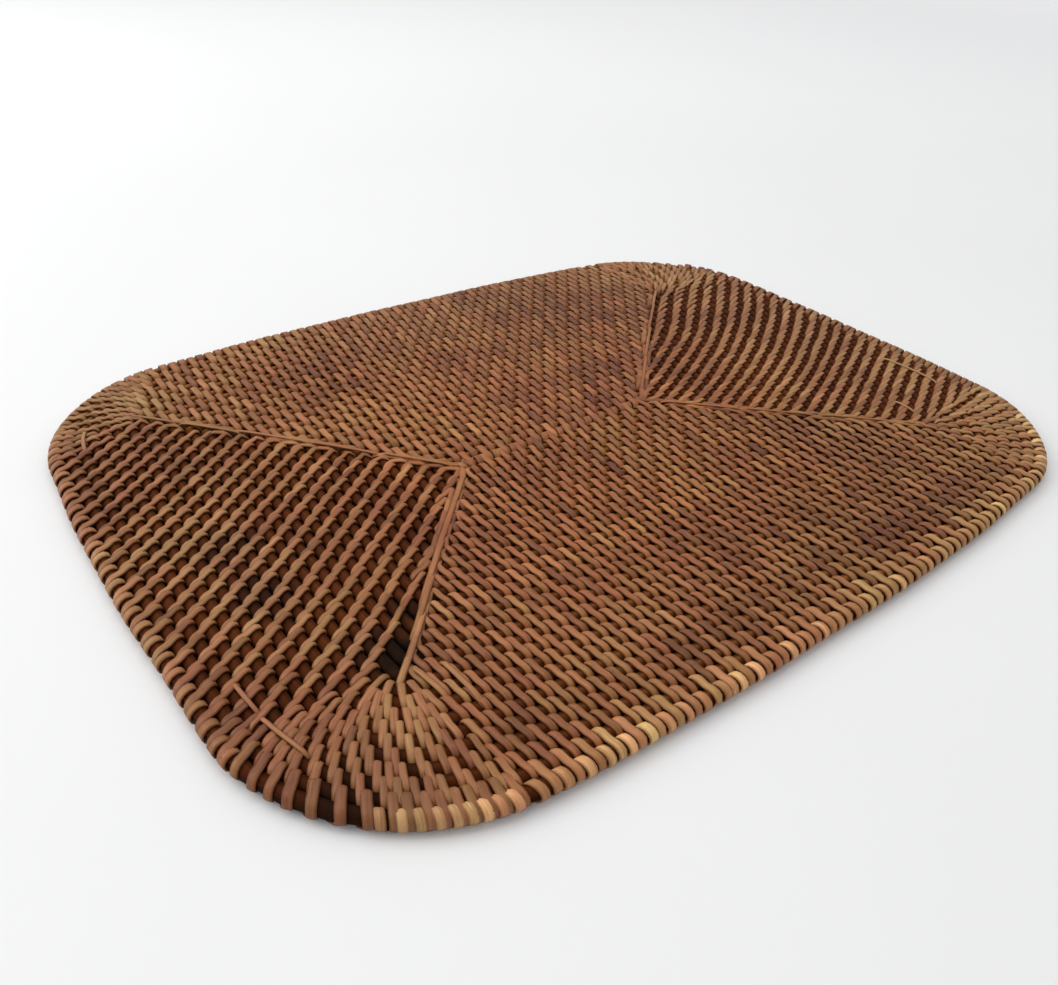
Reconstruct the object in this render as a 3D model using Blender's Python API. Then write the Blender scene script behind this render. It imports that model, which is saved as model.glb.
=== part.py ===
"""A rattan placemat: a coil of cane bound with split strands, lying flat.

The coil is one piece, so the mat is one solid. Its outline is a rectangle whose
four sides bow gently outwards and whose corners are wide arcs, and its rim is
rounded as the outermost turn of bound cane is. Metres, +Z up, with the origin
under the middle of the mat and +X along its long side.
"""

import math

import bmesh
import bpy

# Driving dimensions, in metres.
HALF_LENGTH = 0.203
HALF_WIDTH = 0.150
THICKNESS = 0.0068

# Each side is an arc. Its bow is how much lower the arc would be at the end of
# the half-length or half-width than it is at the middle of the side.
LONG_SIDE_BOW = 0.0122
SHORT_SIDE_BOW = 0.0072
CORNER_RADIUS = 0.068

# The rim is the outside of a bound cane, all but a narrow flat band.
RIM_RADIUS = 0.0030

# How finely the arcs are divided, for a quarter of the outline.
LONG_SIDE_STEPS = 7
SHORT_SIDE_STEPS = 5
CORNER_STEPS = 10
RIM_RESOLUTION = 3

# Points nearer than this are one point.
WELD_DISTANCE = 0.00001

# Finish of the mat as a whole.
CANE_COLOUR = (0.155, 0.068, 0.028, 1.0)
CANE_ROUGHNESS = 0.55
CANE_METALLIC = 0.0

NODE_NAME = "mat"
COLLECTION_NAME = "rattan_placemat"


def clear_scene():
    """Remove whatever objects the file starts with."""
    for ob in list(bpy.data.objects):
        bpy.data.objects.remove(ob, do_unlink=True)


def side_radius(half_span, bow):
    """Radius of the circle that falls by bow over half a side."""
    return (half_span**2 + bow**2) / (2.0 * bow)


def corner_centre(long_radius, short_radius):
    """Centre of the arc that touches a long side and a short side from inside."""
    long_centre = (0.0, HALF_WIDTH - long_radius)
    short_centre = (HALF_LENGTH - short_radius, 0.0)
    reach_long = long_radius - CORNER_RADIUS
    reach_short = short_radius - CORNER_RADIUS
    across = short_centre[0] - long_centre[0]
    along = short_centre[1] - long_centre[1]
    apart = math.hypot(across, along)
    foot = (reach_long**2 - reach_short**2 + apart**2) / (2.0 * apart)
    rise = math.sqrt(reach_long**2 - foot**2)
    return (
        long_centre[0] + (foot * across + rise * along) / apart,
        long_centre[1] + (foot * along - rise * across) / apart,
    )


def arc(centre, radius, start, end, steps):
    """Points along an arc, from its start angle up to but not at its end angle."""
    points = []
    for i in range(steps):
        angle = start + (end - start) * i / steps
        x = centre[0] + radius * math.cos(angle)
        y = centre[1] + radius * math.sin(angle)
        points.append((x, y))
    return points


def quarter_outline(inset):
    """The outline from the middle of the +X side to the middle of the +Y side."""
    long_radius = side_radius(HALF_LENGTH, LONG_SIDE_BOW)
    short_radius = side_radius(HALF_WIDTH, SHORT_SIDE_BOW)
    centre = corner_centre(long_radius, short_radius)
    short_centre = (HALF_LENGTH - short_radius, 0.0)
    long_centre = (0.0, HALF_WIDTH - long_radius)
    leave_short = math.atan2(centre[1], centre[0] - short_centre[0])
    meet_long = math.atan2(centre[1] - long_centre[1], centre[0])
    quarter_turn = math.pi / 2.0
    points = arc(short_centre, short_radius - inset, 0.0, leave_short, SHORT_SIDE_STEPS)
    points += arc(centre, CORNER_RADIUS - inset, leave_short, meet_long, CORNER_STEPS)
    points += arc(long_centre, long_radius - inset, meet_long, quarter_turn, LONG_SIDE_STEPS)
    points.append((0.0, HALF_WIDTH - inset))
    return points


def full_outline(inset):
    """The whole outline, anticlockwise, from its first quarter and its mirrors."""
    first = quarter_outline(inset)
    second = [(-x, y) for x, y in reversed(first[:-1])]
    upper = first + second
    lower = [(x, -y) for x, y in reversed(upper[1:-1])]
    return upper + lower


def make_outline_curve():
    """A flat filled curve, with half the thickness below it and half above."""
    data = bpy.data.curves.new(NODE_NAME + "_outline", "CURVE")
    data.dimensions = "2D"
    data.fill_mode = "BOTH"
    data.bevel_depth = RIM_RADIUS
    data.bevel_resolution = RIM_RESOLUTION
    data.extrude = THICKNESS / 2.0 - RIM_RADIUS
    points = full_outline(RIM_RADIUS)
    spline = data.splines.new("POLY")
    spline.points.add(len(points) - 1)
    for point, (x, y) in zip(spline.points, points):
        point.co = (x, y, 0.0, 1.0)
    spline.use_cyclic_u = True
    curve = bpy.data.objects.new(NODE_NAME + "_outline", data)
    curve.location.z = THICKNESS / 2.0
    return curve


def solid_from_curve(curve, collection):
    """The curve as one closed mesh that stands with its underside at z = 0."""
    collection.objects.link(curve)
    bpy.context.view_layer.update()
    evaluated = curve.evaluated_get(bpy.context.evaluated_depsgraph_get())
    mesh = bpy.data.meshes.new_from_object(evaluated)
    mesh.transform(curve.matrix_world)
    bpy.data.objects.remove(curve, do_unlink=True)
    bm = bmesh.new()
    bm.from_mesh(mesh)
    bmesh.ops.remove_doubles(bm, verts=bm.verts, dist=WELD_DISTANCE)
    bmesh.ops.recalc_face_normals(bm, faces=bm.faces)
    bm.to_mesh(mesh)
    bm.free()
    mesh.name = NODE_NAME
    mesh.shade_smooth()
    mesh.set_sharp_from_angle(angle=math.radians(40.0))
    ob = bpy.data.objects.new(NODE_NAME, mesh)
    collection.objects.link(ob)
    return ob


def bound_cane_material():
    """Stained cane, satin, as one plain finish."""
    material = bpy.data.materials.new("bound_cane")
    material.use_nodes = True
    shader = material.node_tree.nodes["Principled BSDF"]
    shader.inputs["Base Color"].default_value = CANE_COLOUR
    shader.inputs["Roughness"].default_value = CANE_ROUGHNESS
    shader.inputs["Metallic"].default_value = CANE_METALLIC
    return material


def build():
    """Model the placemat in a collection of its own."""
    clear_scene()
    collection = bpy.data.collections.new(COLLECTION_NAME)
    bpy.context.scene.collection.children.link(collection)
    mat = solid_from_curve(make_outline_curve(), collection)
    mat.data.materials.clear()
    mat.data.materials.append(bound_cane_material())


build()
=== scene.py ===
"""A rattan placemat: a dark cane coiled in mitred rounds and bound with split rattan."""
import logging
import math
from dataclasses import dataclass
from enum import IntEnum

import bpy
import numpy as np
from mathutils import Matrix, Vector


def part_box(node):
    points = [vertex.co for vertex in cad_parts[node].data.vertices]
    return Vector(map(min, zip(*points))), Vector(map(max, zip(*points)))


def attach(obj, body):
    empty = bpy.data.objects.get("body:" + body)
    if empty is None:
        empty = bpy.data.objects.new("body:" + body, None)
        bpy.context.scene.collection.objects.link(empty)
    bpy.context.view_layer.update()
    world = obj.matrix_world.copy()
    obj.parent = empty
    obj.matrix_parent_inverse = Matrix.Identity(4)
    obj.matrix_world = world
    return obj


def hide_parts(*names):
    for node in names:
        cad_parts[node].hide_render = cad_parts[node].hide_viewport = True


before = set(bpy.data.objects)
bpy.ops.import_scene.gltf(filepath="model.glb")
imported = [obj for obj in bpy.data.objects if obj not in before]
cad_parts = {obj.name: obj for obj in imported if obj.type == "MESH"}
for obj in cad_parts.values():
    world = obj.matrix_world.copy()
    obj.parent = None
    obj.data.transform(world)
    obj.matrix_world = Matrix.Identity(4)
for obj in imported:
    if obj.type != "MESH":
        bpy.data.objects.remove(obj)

LOG = logging.getLogger("rattan_placemat")
MM = 0.001
SEED = 4173
# The turns between which the pieces of the binding run.
BINDING_TURNS = (0, 10, 15, 19, 22, 24, 26)
# How much further apart the paired strands lie beside the spine, as a share of the spacing.
SPINE_SLACK = 0.13


class Stretch(IntEnum):
    """The eight stretches of one round, in the order in which the cane runs."""

    BACK = 0
    BACK_LEFT = 1
    LEFT = 2
    FRONT_LEFT = 3
    FRONT = 4
    FRONT_RIGHT = 5
    RIGHT = 6
    BACK_RIGHT = 7


# Which way x or y grows along each straight as the cane runs.
STRAIGHT_SIGN = {Stretch.BACK: -1.0, Stretch.LEFT: -1.0, Stretch.FRONT: 1.0, Stretch.RIGHT: 1.0}
# Direction of the cane on each straight, in plan.
STRAIGHT_RUN = {
    Stretch.BACK: (-1.0, 0.0),
    Stretch.LEFT: (0.0, -1.0),
    Stretch.FRONT: (1.0, 0.0),
    Stretch.RIGHT: (0.0, 1.0),
}
# Angle at which each corner starts.
CORNER_START = {
    Stretch.BACK_LEFT: 0.5 * math.pi,
    Stretch.FRONT_LEFT: math.pi,
    Stretch.FRONT_RIGHT: 1.5 * math.pi,
    Stretch.BACK_RIGHT: 0.0,
}
# How much paler the stitches of the last round are.
RIM_LIFT = {
    Stretch.BACK: 0.10,
    Stretch.LEFT: 0.10,
    Stretch.FRONT: 0.52,
    Stretch.FRONT_RIGHT: 0.30,
    Stretch.RIGHT: -0.12,
}
# How light and warm the cane's stain is, at shares of the stretches.
STAIN_WARMTH = (
    (Stretch.BACK, 0.0, 0.85),
    (Stretch.BACK_LEFT, 0.0, 0.85),
    (Stretch.BACK_LEFT, 0.9, 0.60),
    (Stretch.LEFT, 0.0, 0.05),
    (Stretch.FRONT_LEFT, 0.0, 0.0),
    (Stretch.FRONT, 0.0, 0.0),
    (Stretch.FRONT, 0.1, 0.15),
    (Stretch.FRONT, 0.4, 0.58),
    (Stretch.FRONT_RIGHT, 0.0, 0.62),
    (Stretch.FRONT_RIGHT, 0.9, 0.75),
    (Stretch.RIGHT, 0.0, 0.0),
    (Stretch.RIGHT, 0.97, 0.0),
    (Stretch.BACK_RIGHT, 0.1, 0.60),
    (Stretch.BACK_RIGHT, 1.0, 0.85),
)
# How far out each mitre turns into a round corner, as a share of the way from spine to rim.
MITRE_SHARE = {
    Stretch.BACK_LEFT: 0.72,
    Stretch.FRONT_LEFT: 0.60,
    Stretch.FRONT_RIGHT: 0.60,
    Stretch.BACK_RIGHT: 0.61,
}


@dataclass(frozen=True)
class BareEnd:
    """Bare cane that the maker left beside a mitre: how far the stitches stop short, turn by turn.

    Attributes:
        turns: turns for which the lengths are given. Between them they blend.
        lengths: bare length at each, in metres.
    """

    turns: tuple[int, ...]
    lengths: tuple[float, ...]

    def at(self, turn: int) -> float:
        """Gives the bare length at one turn."""
        return float(np.interp(turn, self.turns, self.lengths))


@dataclass(frozen=True)
class StitchStyle:
    """How the binding stitches sit on one stretch of the round.

    On a straight, places are x or y along it in millimetres. On a corner they are shares of its length.

    Attributes:
        places: where the other values hold. Between them they blend.
        spacings: distance between the stitches of a row, in millimetres.
        staggers: how far a stitch sits ahead of the one inside it, as a share of the spacing.
        pairs: the stagger at which a stitch would stand square. It leans by twice what is above that.
        widths: width of the strand, in millimetres.
        pitch: distance between rounds, in metres.
    """

    places: tuple[float, ...]
    spacings: tuple[float, ...]
    staggers: tuple[float, ...]
    pairs: tuple[float, ...]
    widths: tuple[float, ...]
    pitch: float

    def at(self, values: tuple[float, ...], place: np.ndarray) -> np.ndarray:
        """Blends one of the value lists at places in metres or shares."""
        scale = MM if max(self.places) > 1.0 else 1.0
        return np.interp(place, scale * np.array(self.places), values)

    def spacing_at(self, place: np.ndarray) -> np.ndarray:
        """Gives the stitch spacing at a place, in metres."""
        return MM * self.at(self.spacings, place)

    def stagger_at(self, place: np.ndarray) -> np.ndarray:
        """Gives how far a stitch sits ahead of the one inside it, as a share of the spacing."""
        return self.at(self.staggers, place)


def millimetres(*values: float) -> tuple[float, ...]:
    """Turns millimetres into metres."""
    return tuple(v * MM for v in values)


STYLES = {
    Stretch.BACK: StitchStyle(
        places=(-130, -90, -60, -30, 0, 80),
        spacings=(9.2, 9.5, 9.1, 8.5, 8.4, 8.4),
        staggers=6 * (0.42,),
        pairs=(0.40, 0.42, 0.47, 0.53, 0.55, 0.56),
        widths=(3.1, 3.2, 3.2, 3.2, 3.3, 3.3),
        pitch=5.94 * MM,
    ),
    Stretch.BACK_LEFT: StitchStyle((0, 1), (7.2, 7.0), (0.42, 0.46), (0.39, 0.24), (2.9, 2.5), 5.60 * MM),
    Stretch.LEFT: StitchStyle((-90, 80), (8.9, 8.9), (0.485, 0.485), (0.16, 0.16), (2.45, 2.45), 5.27 * MM),
    Stretch.FRONT_LEFT: StitchStyle((0, 1), (6.3, 5.9), (0.54, 0.48), (0.20, 0.37), (2.7, 2.6), 5.43 * MM),
    Stretch.FRONT: StitchStyle(
        places=(-130, -90, -60, -30, 0, 30, 90, 150),
        spacings=(7.5, 7.8, 8.1, 8.7, 9.0, 9.9, 10.2, 10.4),
        staggers=8 * (0.46,),
        pairs=(0.38, 0.39, 0.40, 0.41, 0.41, 0.41, 0.41, 0.41),
        widths=(2.6, 2.7, 2.8, 2.9, 3.0, 3.2, 3.4, 3.4),
        pitch=5.60 * MM,
    ),
    Stretch.FRONT_RIGHT: StitchStyle((0, 1), (8.4, 7.4), (0.42, 0.40), (0.39, 0.24), (3.1, 2.6), 5.90 * MM),
    Stretch.RIGHT: StitchStyle(
        places=(-75, -40, -20, 0, 20, 40, 60, 90),
        spacings=(7.6, 7.3, 7.8, 8.3, 9.1, 9.8, 10.8, 11.0),
        staggers=(0.36, 0.38, 0.41, 0.445, 0.48, 0.52, 0.53, 0.53),
        pairs=(0.20, 0.19, 0.18, 0.18, 0.18, 0.19, 0.20, 0.22),
        widths=(2.4, 2.4, 2.4, 2.45, 2.5, 2.55, 2.55, 2.55),
        pitch=6.27 * MM,
    ),
    Stretch.BACK_RIGHT: StitchStyle((0, 1), (8.4, 8.0), (0.45, 0.43), (0.26, 0.38), (2.6, 3.2), 6.10 * MM),
}


def styled(name: str, stretch: np.ndarray, place: np.ndarray, share: np.ndarray) -> np.ndarray:
    """Gives one value of the stitch styles at many points.

    Args:
        name: which list of values.
        stretch: stretch of each point.
        place: place of each point on its straight, in metres.
        share: share of the stretch.

    Returns:
        The values.
    """
    found = np.zeros(share.shape)
    for one in Stretch:
        mine = stretch == one
        where = place if one in STRAIGHT_SIGN else share
        found[mine] = STYLES[one].at(getattr(STYLES[one], name), where[mine])
    return found


def spine_slack(stretch: np.ndarray, place: np.ndarray, turn: int) -> np.ndarray:
    """Gives how much further apart the paired strands lie on the front beside the spine.

    Args:
        stretch: stretch of each stitch.
        place: place of each stitch on its straight, in metres.
        turn: number of the turn.

    Returns:
        Shares of the stitch spacing to add.
    """
    along = np.interp(place, millimetres(-70.0, -40.0, 50.0, 90.0), (0.0, 1.0, 1.0, 0.4))
    outward = np.interp(turn, (1, 9, 15), (1.0, 0.7, 0.0))
    return np.where(stretch == Stretch.FRONT, SPINE_SLACK * along * outward, 0.0)


NO_BARE_END = BareEnd((0, 1), (0.0, 0.0))
BARE_STARTS = {
    Stretch.LEFT: BareEnd((0, 3, 5, 9, 12, 14, 16, 18, 19), millimetres(2, 1, 3, 1, 3, 2, 4, 3, 0)),
}
BARE_ENDS = {
    Stretch.LEFT: BareEnd((7, 9, 11, 13, 15, 16, 17, 18), millimetres(0, 2, 4.5, 7, 9, 7, 2, 0)),
    Stretch.RIGHT: BareEnd((4, 7, 9, 12, 15, 17, 18), millimetres(0, 3, 4.5, 5.5, 5, 2, 0)),
}


def unit(vectors: np.ndarray) -> np.ndarray:
    """Gives vectors the length 1."""
    return vectors / np.maximum(np.linalg.norm(vectors, axis=-1, keepdims=True), 1e-12)


def square_to(way: np.ndarray) -> np.ndarray:
    """Turns plan directions along the cane into directions out of the mat."""
    return np.stack([way[..., 1], -way[..., 0]], axis=-1)


def raised(plan: np.ndarray, height: np.ndarray | float) -> np.ndarray:
    """Lifts points or directions in plan to a height."""
    level = np.broadcast_to(height, plan.shape[:-1])
    return np.concatenate([plan, level[..., None]], axis=-1)


def lengths_run(points: np.ndarray) -> np.ndarray:
    """Gives the length run at each point of a path."""
    return np.concatenate([[0.0], np.cumsum(np.linalg.norm(np.diff(points, axis=0), axis=1))])


def stacked(*values: np.ndarray) -> np.ndarray:
    """Spreads three values over one shape and stacks them as vectors."""
    return np.stack(np.broadcast_arrays(*values), axis=-1)


def ring_faces(index: np.ndarray) -> np.ndarray:
    """Joins rings of vertex numbers, (rings, sides), into the four-cornered faces of a tube."""
    turned = np.roll(index, -1, axis=1)
    return np.stack([index[:-1], turned[:-1], turned[1:], index[1:]], axis=-1).reshape(-1, 4)


def smooth_mesh(name: str, points: np.ndarray, faces: list[list[int]]) -> bpy.types.Mesh:
    """Makes a smoothly shaded mesh.

    Args:
        name: name of the mesh.
        points: vertices, with x, y and z along the last axis.
        faces: vertex numbers of each face.

    Returns:
        The mesh.
    """
    mesh = bpy.data.meshes.new(name)
    mesh.from_pydata(points.reshape(-1, 3).tolist(), [], faces)
    mesh.polygons.foreach_set("use_smooth", np.ones(len(mesh.polygons), dtype=bool))
    return mesh


def placed(name: str, data: bpy.types.ID) -> bpy.types.Object:
    """Makes an object of a mesh, light or camera and links it to the scene.

    Args:
        name: name of the object.
        data: the mesh, light or camera.

    Returns:
        The object.
    """
    made = bpy.data.objects.new(name, data)
    bpy.context.scene.collection.objects.link(made)
    return made


@dataclass(frozen=True)
class MatPlan:
    """The plan of the coil: where each round of the square spiral runs, in metres.

    Attributes:
        half_length: half the mat's length.
        half_width: half its width.
        rounds: rounds of cane from the spine to the rim.
        spine_left: x of the spine's left end.
        spine_right: x of the spine's right end.
        spine_level: y of the spine.
        long_side_bow: how far the long sides bow outward.
        short_side_bow: how far the short sides bow outward.
        corner_radius: radius of the outermost round's corners.
        bend_radius: radius of the tight bends at the mitres.
        wander: how far the rounds wander slowly, as hand work does.
        fine_wander: how far they wander at a closer scale.
    """

    half_length: float
    half_width: float
    rounds: int = 26
    spine_left: float = -0.066
    spine_right: float = 0.040
    spine_level: float = -0.0045
    long_side_bow: float = 0.0122
    short_side_bow: float = 0.0072
    corner_radius: float = 0.062
    bend_radius: float = 0.0023
    wander: float = 0.35 * MM
    fine_wander: float = 0.18 * MM

    def left(self, share: np.ndarray) -> np.ndarray:
        """Gives x of the left side at a share of the way from spine to rim."""
        return self.spine_left + (-self.half_length - self.spine_left) * share

    def right(self, share: np.ndarray) -> np.ndarray:
        """Gives x of the right side at a share of the way from spine to rim."""
        return self.spine_right + (self.half_length - self.spine_right) * share

    def front(self, share: np.ndarray) -> np.ndarray:
        """Gives y of the front side at a share of the way from spine to rim."""
        return self.spine_level + (-self.half_width - self.spine_level) * share

    def back(self, share: np.ndarray) -> np.ndarray:
        """Gives y of the back side at a share of the way from spine to rim."""
        return self.spine_level + (self.half_width - self.spine_level) * share

    def bend(self, share: np.ndarray, corner: Stretch) -> np.ndarray:
        """Gives a corner's radius: a tight mitre near the spine, a round corner near the rim.

        Args:
            share: share of the way from spine to rim.
            corner: which corner.

        Returns:
            The radius at each share.
        """
        mitre = MITRE_SHARE[corner]
        opened = (share - mitre) / (1.0 - mitre)
        return np.maximum(self.bend_radius, self.corner_radius * np.maximum(opened, 0.0))

    def limits(self, share: np.ndarray) -> dict[Stretch, tuple[np.ndarray, np.ndarray]]:
        """Finds where each straight stretch starts and ends.

        Args:
            share: share of the way from spine to rim, one value a point.

        Returns:
            The start and end of each straight stretch, as x or y.
        """
        step = 1.0 / self.rounds
        back_left = self.bend(share, Stretch.BACK_LEFT)
        front_left = self.bend(share, Stretch.FRONT_LEFT)
        front_right = self.bend(share, Stretch.FRONT_RIGHT)
        before = self.bend(share - 0.5 * step, Stretch.BACK_RIGHT)
        after = self.bend(share + 0.5 * step, Stretch.BACK_RIGHT)
        return {
            Stretch.BACK: (self.right(share - step) - before, self.left(share) + back_left),
            Stretch.LEFT: (self.back(share) - back_left, self.front(share) + front_left),
            Stretch.FRONT: (self.left(share) + front_left, self.right(share) - front_right),
            Stretch.RIGHT: (self.front(share) + front_right, self.back(share + step) - after),
        }

    def corner(self, stretch: Stretch, share: np.ndarray) -> tuple[np.ndarray, np.ndarray, np.ndarray]:
        """Finds the centre and radius of one corner.

        Args:
            stretch: which corner.
            share: share of the way from spine to rim, one value a point.

        Returns:
            Centre x, centre y and radius.
        """
        step = 1.0 / self.rounds
        if stretch is Stretch.BACK_RIGHT:
            bend = self.bend(share + 0.5 * step, stretch)
            return self.right(share) - bend, self.back(share + step) - bend, bend
        bend = self.bend(share, stretch)
        x = self.right(share) - bend if stretch is Stretch.FRONT_RIGHT else self.left(share) + bend
        y = self.back(share) - bend if stretch is Stretch.BACK_LEFT else self.front(share) + bend
        return x, y, bend

    def middle(self, turn: int) -> np.ndarray:
        """Gives how far out the middle of one turn lies, as a share of the way from spine to rim."""
        return np.array([(turn + 0.5) / self.rounds])

    def lengths(self, turn: int) -> np.ndarray:
        """Measures one turn.

        Args:
            turn: number of the turn.

        Returns:
            The length of each of its eight stretches.
        """
        straights = self.limits(self.middle(turn))
        found = []
        for stretch in Stretch:
            if stretch in straights:
                start, end = straights[stretch]
                found.append(abs(float(end[0] - start[0])))
            else:
                found.append(0.5 * math.pi * self._bend_of(turn, stretch))
        return np.array(found)

    def starts(self, turn: int) -> np.ndarray:
        """Gives the length run at the start of each stretch of one turn, and at the turn's end."""
        return np.concatenate([[0.0], np.cumsum(self.lengths(turn))])

    def _bend_of(self, turn: int, corner: Stretch) -> float:
        """Gives the radius of one corner of one turn."""
        return float(self.corner(corner, self.middle(turn))[2][0])

    def chart(self, turn: int, run: np.ndarray) -> tuple[np.ndarray, np.ndarray, np.ndarray, np.ndarray]:
        """Turns lengths along one turn into places on its stretches.

        Args:
            turn: number of the turn, from the spine.
            run: lengths along the turn, which may run over into its neighbours.

        Returns:
            Turn, stretch, place on the stretch (x, y or angle) and share of the stretch.
        """
        turns = np.full(run.shape, turn)
        total = self.lengths(turn).sum()
        rest = run.astype(float)
        if turn > 0:
            before = run < 0.0
            rest[before] += self.lengths(turn - 1).sum()
            turns[before] -= 1
        after = run >= total
        rest[after] -= total
        turns[after] += 1
        stretches = np.zeros(run.shape, dtype=int)
        places = np.zeros(run.shape)
        shares = np.zeros(run.shape)
        for one in np.unique(turns):
            mine = turns == one
            stretches[mine], places[mine], shares[mine] = self._chart_one(int(one), rest[mine])
        return turns, stretches, places, shares

    def _chart_one(self, turn: int, run: np.ndarray) -> tuple[np.ndarray, np.ndarray, np.ndarray]:
        """Turns lengths that lie within one turn into places on its stretches.

        Args:
            turn: number of the turn.
            run: lengths along it.

        Returns:
            Stretch, place on the stretch (x, y or angle) and share of the stretch.
        """
        starts = self.starts(turn)
        stretch = np.clip(np.searchsorted(starts, run, side="right") - 1, 0, len(Stretch) - 1)
        into = run - starts[stretch]
        straights = self.limits(self.middle(turn))
        place = np.zeros(run.shape)
        for one in Stretch:
            mine = stretch == one
            if one in straights:
                place[mine] = straights[one][0][0] + STRAIGHT_SIGN[one] * into[mine]
            else:
                place[mine] = CORNER_START[one] + into[mine] / self._bend_of(turn, one)
        return stretch, place, into / self.lengths(turn)[stretch]

    def reach(self, turn: int, stretch: np.ndarray, place: np.ndarray) -> np.ndarray:
        """Turns places on stretches into lengths along one turn.

        Args:
            turn: number of the turn.
            stretch: the stretch of each point.
            place: x, y or angle of each point.

        Returns:
            Lengths along the turn.
        """
        lengths = self.lengths(turn)
        starts = self.starts(turn)
        straights = self.limits(self.middle(turn))
        run = np.zeros(place.shape)
        for one in Stretch:
            mine = stretch == one
            if one in straights:
                into = (place[mine] - straights[one][0][0]) * STRAIGHT_SIGN[one]
            else:
                into = (place[mine] - CORNER_START[one]) * self._bend_of(turn, one)
            run[mine] = starts[one] + np.clip(into, 0.0, lengths[one])
        return run

    def locate(
        self, turn: np.ndarray, stretch: np.ndarray, place: np.ndarray, offset: np.ndarray | float = 0.0
    ) -> tuple[np.ndarray, np.ndarray]:
        """Finds points on the plan of the finished mat.

        Args:
            turn: turn of each point.
            stretch: stretch of each point.
            place: x, y or angle of each point on its stretch.
            offset: rounds outward from the middle of that turn.

        Returns:
            Points in plan, and unit directions along the cane at them.
        """
        share = (turn + 0.5 + offset) / self.rounds
        straights = self.limits(share)
        points = np.zeros(share.shape + (2,))
        runs = np.zeros(share.shape + (2,))
        for one in Stretch:
            mine = stretch == one
            if one in straights:
                low, high = np.sort([end[mine] for end in straights[one]], axis=0)
                points[mine] = self._on_straight(one, np.clip(place[mine], low, high), share[mine])
                runs[mine] = STRAIGHT_RUN[one]
            else:
                x, y, bend = self.corner(one, share[mine])
                cosine = np.cos(place[mine])
                sine = np.sin(place[mine])
                points[mine] = np.stack([x + bend * cosine, y + bend * sine], axis=-1)
                runs[mine] = np.stack([-sine, cosine], axis=-1)
        return self.bowed(points, runs)

    def _on_straight(self, stretch: Stretch, place: np.ndarray, share: np.ndarray) -> np.ndarray:
        """Finds points on one straight of the square plan.

        Args:
            stretch: the straight.
            place: x or y along it.
            share: share of the way from spine to rim.

        Returns:
            Points in plan.
        """
        if stretch is Stretch.BACK:
            return np.stack([place, self.back(share)], axis=-1)
        if stretch is Stretch.FRONT:
            return np.stack([place, self.front(share)], axis=-1)
        side = self.left(share) if stretch is Stretch.LEFT else self.right(share)
        return np.stack([side, place], axis=-1)

    def bowed(self, points: np.ndarray, runs: np.ndarray) -> tuple[np.ndarray, np.ndarray]:
        """Bows the four sides outward, and turns the directions with them.

        Args:
            points: points on the square plan.
            runs: unit directions at them.

        Returns:
            Points and unit directions on the bowed plan.
        """
        reach = 0.2 * MM
        turned = self._bow(points + reach * runs) - self._bow(points - reach * runs)
        return self._bow(points), unit(turned)

    def _bow(self, points: np.ndarray) -> np.ndarray:
        """Applies the bow and the slight wander of hand work.

        Args:
            points: points on the square plan.

        Returns:
            Points on the finished plan.
        """
        x = points[..., 0]
        y = points[..., 1]
        across = 1.0 - (self.short_side_bow / self.half_length) * (y / self.half_width) ** 2
        away = 1.0 - (self.long_side_bow / self.half_width) * (x / self.half_length) ** 2
        wander_x = self._wander(41.0 * y + 17.0 * x + 1.1, 97.0 * y - 31.0 * x)
        wander_y = self._wander(37.0 * x - 13.0 * y + 0.4, 89.0 * x + 23.0 * y)
        return np.stack([x * across + wander_x, y * away + wander_y], axis=-1)

    def _wander(self, slow: np.ndarray, quick: np.ndarray) -> np.ndarray:
        """Gives the wander of hand work from the phases of a slow and a quick wave."""
        return self.wander * np.sin(slow) + self.fine_wander * np.sin(quick)


@dataclass(frozen=True)
class CaneSize:
    """Sizes that the cane and the strand round it share, in metres.

    Attributes:
        core_radius: half the height of the cane.
        fullness: half the breadth of the cane, as a share of the distance between rounds.
        strand_thickness: thickness of the strand.
        middle: height of the cane's middle line above the table.
    """

    core_radius: float = 2.35 * MM
    fullness: float = 0.50
    strand_thickness: float = 0.85 * MM
    middle: float = 3.33 * MM

    @property
    def wrap(self) -> float:
        """Distance from the middle of a cane to the middle of the strand on it."""
        return self.core_radius + 0.5 * self.strand_thickness


@dataclass(frozen=True)
class CoilEnd:
    """The end of the coil: the last cane thins round the last corner and closes up to the one inside.

    Attributes:
        plan: the plan of the coil.
        size: sizes of the cane.
        tip: radius of the very end, as a share of the full radius.
        closing: how far the end moves in, in metres.
    """

    plan: MatPlan
    size: CaneSize
    tip: float = 0.16
    closing: float = 4.6 * MM

    def taper(
        self, turn: np.ndarray, stretch: np.ndarray, share: np.ndarray
    ) -> tuple[np.ndarray, np.ndarray]:
        """Gives how the outermost cane thins.

        Args:
            turn: turn of each point.
            stretch: stretch of each point.
            share: share of the stretch.

        Returns:
            The cane's radius as a share of its full radius, and its shift outward in rounds.
        """
        last = (turn >= self.plan.rounds - 1) & (stretch == Stretch.BACK_RIGHT)
        part = np.where(last | (turn >= self.plan.rounds), np.where(last, share, 1.0), 0.0)
        factor = 1.0 - (1.0 - self.tip) * part
        pitch = STYLES[Stretch.BACK_RIGHT].pitch
        shift = (self.size.core_radius * (1.0 - factor) - self.closing * part) / pitch
        return factor, shift


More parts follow.
